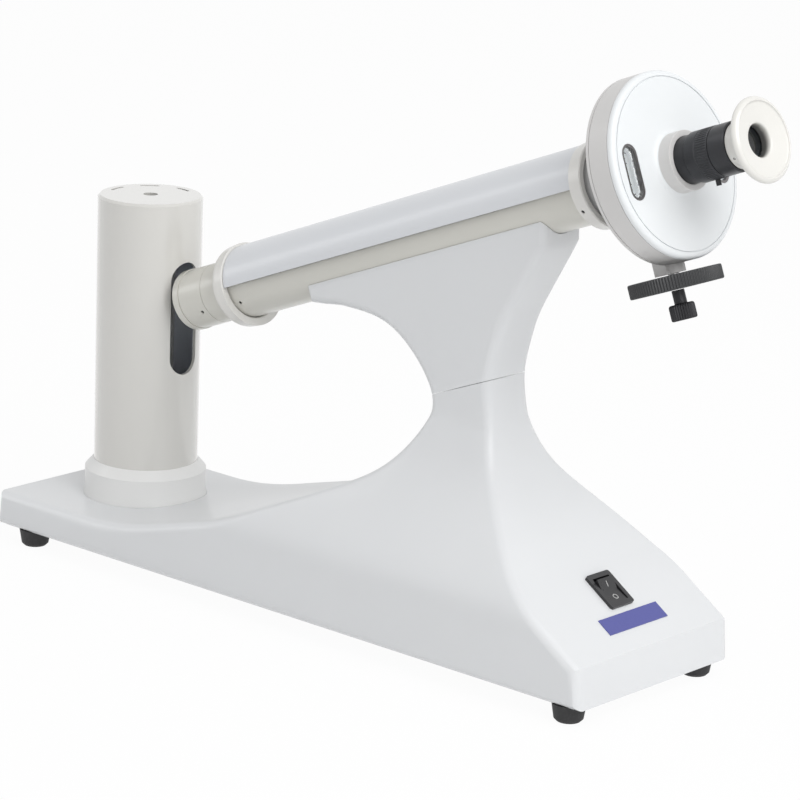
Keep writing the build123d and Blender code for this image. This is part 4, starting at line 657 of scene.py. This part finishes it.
# Eyepiece: the boss that it stands on and its cup
def eyepiece_boss():
    """Sleeve R 15.9 over the cover's boss, with a crisp front rim and a foot R 16.6 on the face."""
    foot, front, outer, seat, bore, lip = 199.35, 207.8, 15.9, 15.65, 12.8, 0.25
    outline = [(foot, seat), (foot, outer + 0.7), (foot + 0.5, outer + 0.1), (foot + 1.0, outer),
               (front, outer), (front, bore), (front - lip, bore), (front - lip, seat)]
    return turned_piece("eyepiece_boss", sight_point, close_profile(outline, 0.25), segments=128)


# The sleeve takes the housing's darker grey over the white cover's boss: painted shade on the boss's side.
seat_piece(eyepiece_boss(), "base", rim_grey)


def curved_path(points, steps=8):
    """Smooth path through points: cubic pieces whose end slopes are half the way between the neighbours."""
    points = np.asarray(points, float)
    padded = np.vstack([points[0], points, points[-1]])
    t = np.linspace(0, 1, steps, endpoint=False)[:, None]
    pieces = []
    for before, a, b, after in zip(padded[:-3], padded[1:-2], padded[2:-1], padded[3:]):
        slope_a, slope_b = (b - before) / 2, (after - a) / 2
        pieces.append((2 * t**3 - 3 * t**2 + 1) * a + (t**3 - 2 * t**2 + t) * slope_a
                      + (3 * t**2 - 2 * t**3) * b + (t**3 - t**2) * slope_b)
    return np.vstack(pieces + [points[-1:]])


def moulded_eyecup():
    """Eyecup: cylinder R 12.2, flare to the rim R 22.6, crest R 20.3, shallow dish, hole R 8.8."""
    neck, hole, bore, rear = 12.2, 8.8, 9.7, 241.2
    flare = curved_path([(249.2, neck), (250.6, 14.2), (251.7, 18.0), (252.7, 21.2), (254.4, 22.55),
                         (256.3, 22.0), (257.3, 20.6)])
    dish = curved_path([(257.3, 19.9), (256.5, 19.3), (255.9, 17.0), (255.0, 12.5), (254.3, 9.6),
                        (253.6, hole)])
    foot = rounded_path([(241.05, 9.9), (241.05, neck), (242.0, neck)], 0.4)
    profile = np.vstack([[(rear, bore)], foot, flare, [(257.45, 20.3)], dish,
                         [(250.1, hole), (250.1, bore), (rear, bore)]])
    return turned_piece("eyecup_moulded", sight_point, profile, segments=144)


seat_piece(moulded_eyecup(), "ocular", cup_beige, ["eyecup"])


# Grub screws, sunk in the radial holes of the tube, the rings and the eyecup
SCREW_TURN = math.radians(30)
SCREW_OUT = -math.cos(SCREW_TURN) * ACROSS - math.sin(SCREW_TURN) * UPWARD
SCREW_SIDE = np.cross(ALONG, SCREW_OUT)


def socket_rows(rows, half_width, segments=36):
    """Angles, heights and radii of a screw's head with a six-sided socket.

    A row is (height, radius); where the radius is None the row lies on the socket, whose radius is
    its half width divided by cos of the angle to the nearest flat."""
    turn = np.linspace(0, 2 * np.pi, segments, endpoint=False)
    flats = half_width / np.cos((turn + np.pi / 6) % (np.pi / 3) - np.pi / 6)
    height = np.array([level for level, _ in rows])[:, None]
    radius = np.array([flats if reach is None else np.full_like(turn, reach) for _, reach in rows])
    return turn, height, radius


def set_screw(name, along, out, size):
    """Set screw at a length along the tube and a radius out of its axis: chamfered disc with a socket."""
    rows = [(-0.8, size), (-0.15, size), (0.0, size * 0.88), (0.0, None), (-0.7, None), (-0.75, POLE_R)]
    turn, lift, radius = socket_rows(rows, 0.46 * size)
    points = spread(SIGHT, (along + radius * np.cos(turn), ALONG), (out + lift, SCREW_OUT),
                    (radius * np.sin(turn), SCREW_SIDE))
    return grid_mesh(name, points, closed_v=True)


for name, along, out, size, body in (
    ("set_screw_barrel", -152.4, 17.0, 1.05, "base"),
    ("set_screw_sleeve", -136.4, 17.0, 1.05, "base"),
    ("set_screw_tube", -120.4, 18.5, 1.05, "base"),
    ("set_screw_ring", 148.0, 23.4, 1.05, "base"),
    ("set_screw_eyecup", 243.8, 12.25, 0.74, "ocular"),
):
    seat_piece(set_screw(name, along, out, size), body, black_steel_knob)


# Graduation of the dial and the verniers: one shallow ridge for each mark
DIAL_FACE = 190.7
DIAL_MARK_END = 35.6
VERNIER_FACE = 190.8
VERNIER_MARK_START = 36.4
MARK_H = 0.06
WIDE_MARK = 0.20
FINE_MARK = 0.08


def ridge_marks(name, place, face, rows):
    """Radial ridges, one for each row (angle, inner radius, outer radius, half width).

    Each ridge has a top of four corners at face + height and a foot of four at the face:
    corner = radius along the mark's direction plus or minus the half width square to it."""
    rows = np.asarray(rows, float)
    angle, inner, outer, half = rows.T
    corners = []
    for lift in (0.0, MARK_H):
        for radius, side in ((inner, -1), (outer, -1), (outer, 1), (inner, 1)):
            reach = np.hypot(radius, half)
            turn = angle + side * np.arctan2(half, radius)
            corners.append(place(np.full_like(angle, face + lift), reach, turn))
    points = np.stack(corners, 1)
    first = np.arange(len(rows))[:, None, None] * 8
    box = np.array([(4, 5, 6, 7), (0, 1, 5, 4), (1, 2, 6, 5), (2, 3, 7, 6), (3, 0, 4, 7), (3, 2, 1, 0)])
    faces = (first + box[None]).reshape(-1, 4)
    mesh = bpy.data.meshes.new(name)
    mesh.from_pydata(points.reshape(-1, 3).tolist(), [], faces.tolist())
    mesh.validate()
    piece = bpy.data.objects.new(name, mesh)
    scene.collection.objects.link(piece)
    return piece


def dial_marks():
    """Degree marks round the dial's edge, longer at every fifth and tenth."""
    degree = np.arange(360)
    length = np.where(degree % 10 == 0, 4.6, np.where(degree % 5 == 0, 3.8, 2.2))
    outer = np.full_like(length, DIAL_MARK_END)
    half = np.where(degree % 5 == 0, WIDE_MARK, FINE_MARK)
    rows = np.column_stack([np.radians(degree), outer - length, outer, half])
    return ridge_marks("dial_graduation", sight_point, DIAL_FACE, rows)


def vernier_marks(name, middle):
    """Twenty vernier divisions centred on the middle angle, each a twentieth short of a degree."""
    step = np.arange(-10, 11)
    length = np.where(step % 10 == 0, 4.0, np.where(step % 5 == 0, 3.4, 2.2))
    inner = np.full_like(length, VERNIER_MARK_START)
    half = np.where(step % 5 == 0, WIDE_MARK, FINE_MARK)
    rows = np.column_stack([middle + np.radians(step * 0.95), inner, inner + length, half])
    return ridge_marks(name, sight_point, VERNIER_FACE, rows)


seat_piece(dial_marks(), "dial", mark_black)
seat_piece(vernier_marks("vernier_lines_far", 0.0), "base", mark_black)
seat_piece(vernier_marks("vernier_lines_near", math.pi), "base", mark_black)


# Lining of the lamp column, left open behind the light slot
COLUMN_X = -190.7


def column_lining():
    """Open sleeve R 28.4 to 28.7 inside the column, left out over 23 degrees each side of the slot.

    The cross-section is a closed loop of the inner and the outer arc; rows run up the column."""
    inner, outer, gap, steps = 28.4, 28.7, math.radians(23), 73
    sweep = np.linspace(gap, 2 * math.pi - gap, steps)
    turn = np.concatenate([sweep, sweep[::-1]])
    out = np.repeat([outer, inner], steps)
    middle = np.full_like(out, (inner + outer) / 2)
    foot, top, edge = 68.0, 202.0, 2.0
    height = np.array([foot, foot, foot + edge, (foot + top) / 2, top - edge, top, top])
    radius = np.vstack([middle, out, out, out, out, out, middle])
    points = upright_point(COLUMN_X, 0)(height[:, None], radius, turn[None, :])
    return grid_mesh("column_lining", points, closed_v=True)


# Painted light: the lining's pale colour brightens the inside of the column seen through the slot.
seat_piece(column_lining(), "column", column_inside_painted_light)


# Screws that hold the feet, seen in the counterbores from below
FOOT_FRONT_X = 184.0
FOOT_REAR_X = -228.0
FOOT_SIDE = 54.6


def foot_screw(name, x, y):
    """Pan head R 3.9 with a six-sided socket 3.2 wide, 0.9 mm inside the foot's sole."""
    rows = [(3.4, 2.1), (3.4, 3.9), (1.6, 3.9), (1.1, 3.5), (0.9, 3.0),
            (0.9, None), (2.2, None), (2.3, POLE_R)]
    turn, height, radius = socket_rows(rows, 1.6)
    return grid_mesh(name, upright_point(x, y)(height, radius, turn)[::-1], closed_v=True)


for end, x in (("front", FOOT_FRONT_X), ("rear", FOOT_REAR_X)):
    for side, y in (("near", -FOOT_SIDE), ("far", FOOT_SIDE)):
        seat_piece(foot_screw(f"foot_screw_{end}_{side}", x, y), "base", zinc_steel)


# Cover of the gear case's rear window, with its two screws
CASE_REAR = 173.8
COVER_MIDDLE = -34.6
COVER_HALF_W = 6.5
COVER_HALF_H = 7.5
COVER_SINK = 0.02
COVER_SCREW_WAY = 5.6


def case_point(along, side, height):
    """Point at a length along the line of sight, a way to the far side and a height square to it."""
    return spread(SIGHT, (along, ALONG), (side, ACROSS), (height, UPWARD))


def case_cover():
    """Plate 13 wide, 15 high and 1.2 thick with round corners and edges.

    Outline = superellipse |y/a|^6 + |h/b|^6 = 1; rows go from the seat to the middle of the back."""
    turn = np.linspace(0, 2 * np.pi, 64, endpoint=False)
    radius = (np.abs(np.cos(turn)) ** 6 + np.abs(np.sin(turn)) ** 6) ** (-1 / 6)
    depth, size = np.array(
        [(0.0, 0.001), (0.0, 1.0), (-0.9, 1.0), (-1.1, 0.98), (-1.2, 0.95), (-1.2, 0.001)]).T[..., None]
    points = case_point(CASE_REAR - COVER_SINK + depth, COVER_HALF_W * size * radius * np.cos(turn),
                        COVER_MIDDLE + COVER_HALF_H * size * radius * np.sin(turn))
    return grid_mesh("gear_case_cover", points, closed_v=True)


def cover_screw(name, height):
    """Button head R 1.5 on the cover, with a six-sided socket 1.2 wide."""
    rows = [(-1.15, 1.5), (-1.5, 1.45), (-1.8, 1.15), (-1.9, None), (-1.4, None), (-1.35, POLE_R)]
    turn, depth, radius = socket_rows(rows, 0.6, segments=30)
    points = case_point(CASE_REAR + depth, radius * np.cos(turn), height + radius * np.sin(turn))
    return grid_mesh(name, points, closed_v=True)


seat_piece(case_cover(), "base", rim_grey)
for name, way in (("cover_screw_upper", COVER_SCREW_WAY), ("cover_screw_lower", -COVER_SCREW_WAY)):
    seat_piece(cover_screw(name, COVER_MIDDLE + way), "base", drive_steel)


# Marks on the rocker: a bar on its upper half and a ring on its lower half
PIVOT = np.array((161.744, 0.0, 51.069))
ROCKER_TILT = math.radians(9)
SLOPE_UP = np.array((-0.8332, 0.0, 0.5530))
SLOPE_OUT = np.array((0.5530, 0.0, 0.8332))
ROCKER_UP = SLOPE_UP * math.cos(ROCKER_TILT) + SLOPE_OUT * math.sin(ROCKER_TILT)
ROCKER_OUT = SLOPE_OUT * math.cos(ROCKER_TILT) - SLOPE_UP * math.sin(ROCKER_TILT)
ROCKER_DIP = 4.8
ROCKER_RISE = 1.8 / 7.6
RIDGE_H = 0.05


def rocker_point(up, side, lift):
    """Point on the rocker's face: way up from its middle, way to the far side, lift over the face.

    Each half of the face rises by 1.8 mm over 7.6 mm from the dip of 4.8 mm over the pivot."""
    height = ROCKER_DIP + np.abs(up) * ROCKER_RISE + lift
    return spread(MM * PIVOT, (up, ROCKER_UP), (side, ACROSS), (height, ROCKER_OUT))


def rocker_ring():
    """Flat ring on the lower half, R 1.5 and 0.24 wide each way, as a ridge 0.05 high."""
    middle, inner, outer = -4.2, 1.26, 1.74
    turn = np.linspace(0, 2 * np.pi, 40, endpoint=False)
    rows = [(inner, -RIDGE_H), (inner, RIDGE_H), (outer, RIDGE_H), (outer, -RIDGE_H)]
    points = [rocker_point(middle + out * np.cos(turn), out * np.sin(turn), lift) for out, lift in rows]
    return grid_mesh("rocker_ring", np.array(points), closed_u=True, closed_v=True)


def rocker_bar():
    """Flat bar up the middle of the upper half, 3.2 long and 0.5 wide, as a ridge 0.05 high.

    Rows run up the bar, columns round its cross-section, and the end rows close on its middle."""
    foot, top, half = 2.6, 5.8, 0.25
    side, lift = np.array([(-half, -RIDGE_H), (-half, RIDGE_H), (half, RIDGE_H), (half, -RIDGE_H)]).T
    rows = [(foot, 0.004), (foot, 1.0), (top, 1.0), (top, 0.004)]
    points = [rocker_point(up, side * size, lift * size) for up, size in rows]
    return grid_mesh("rocker_bar", np.array(points), closed_v=True)


seat_piece(rocker_ring(), "rocker", mark_white)
seat_piece(rocker_bar(), "rocker", mark_white)
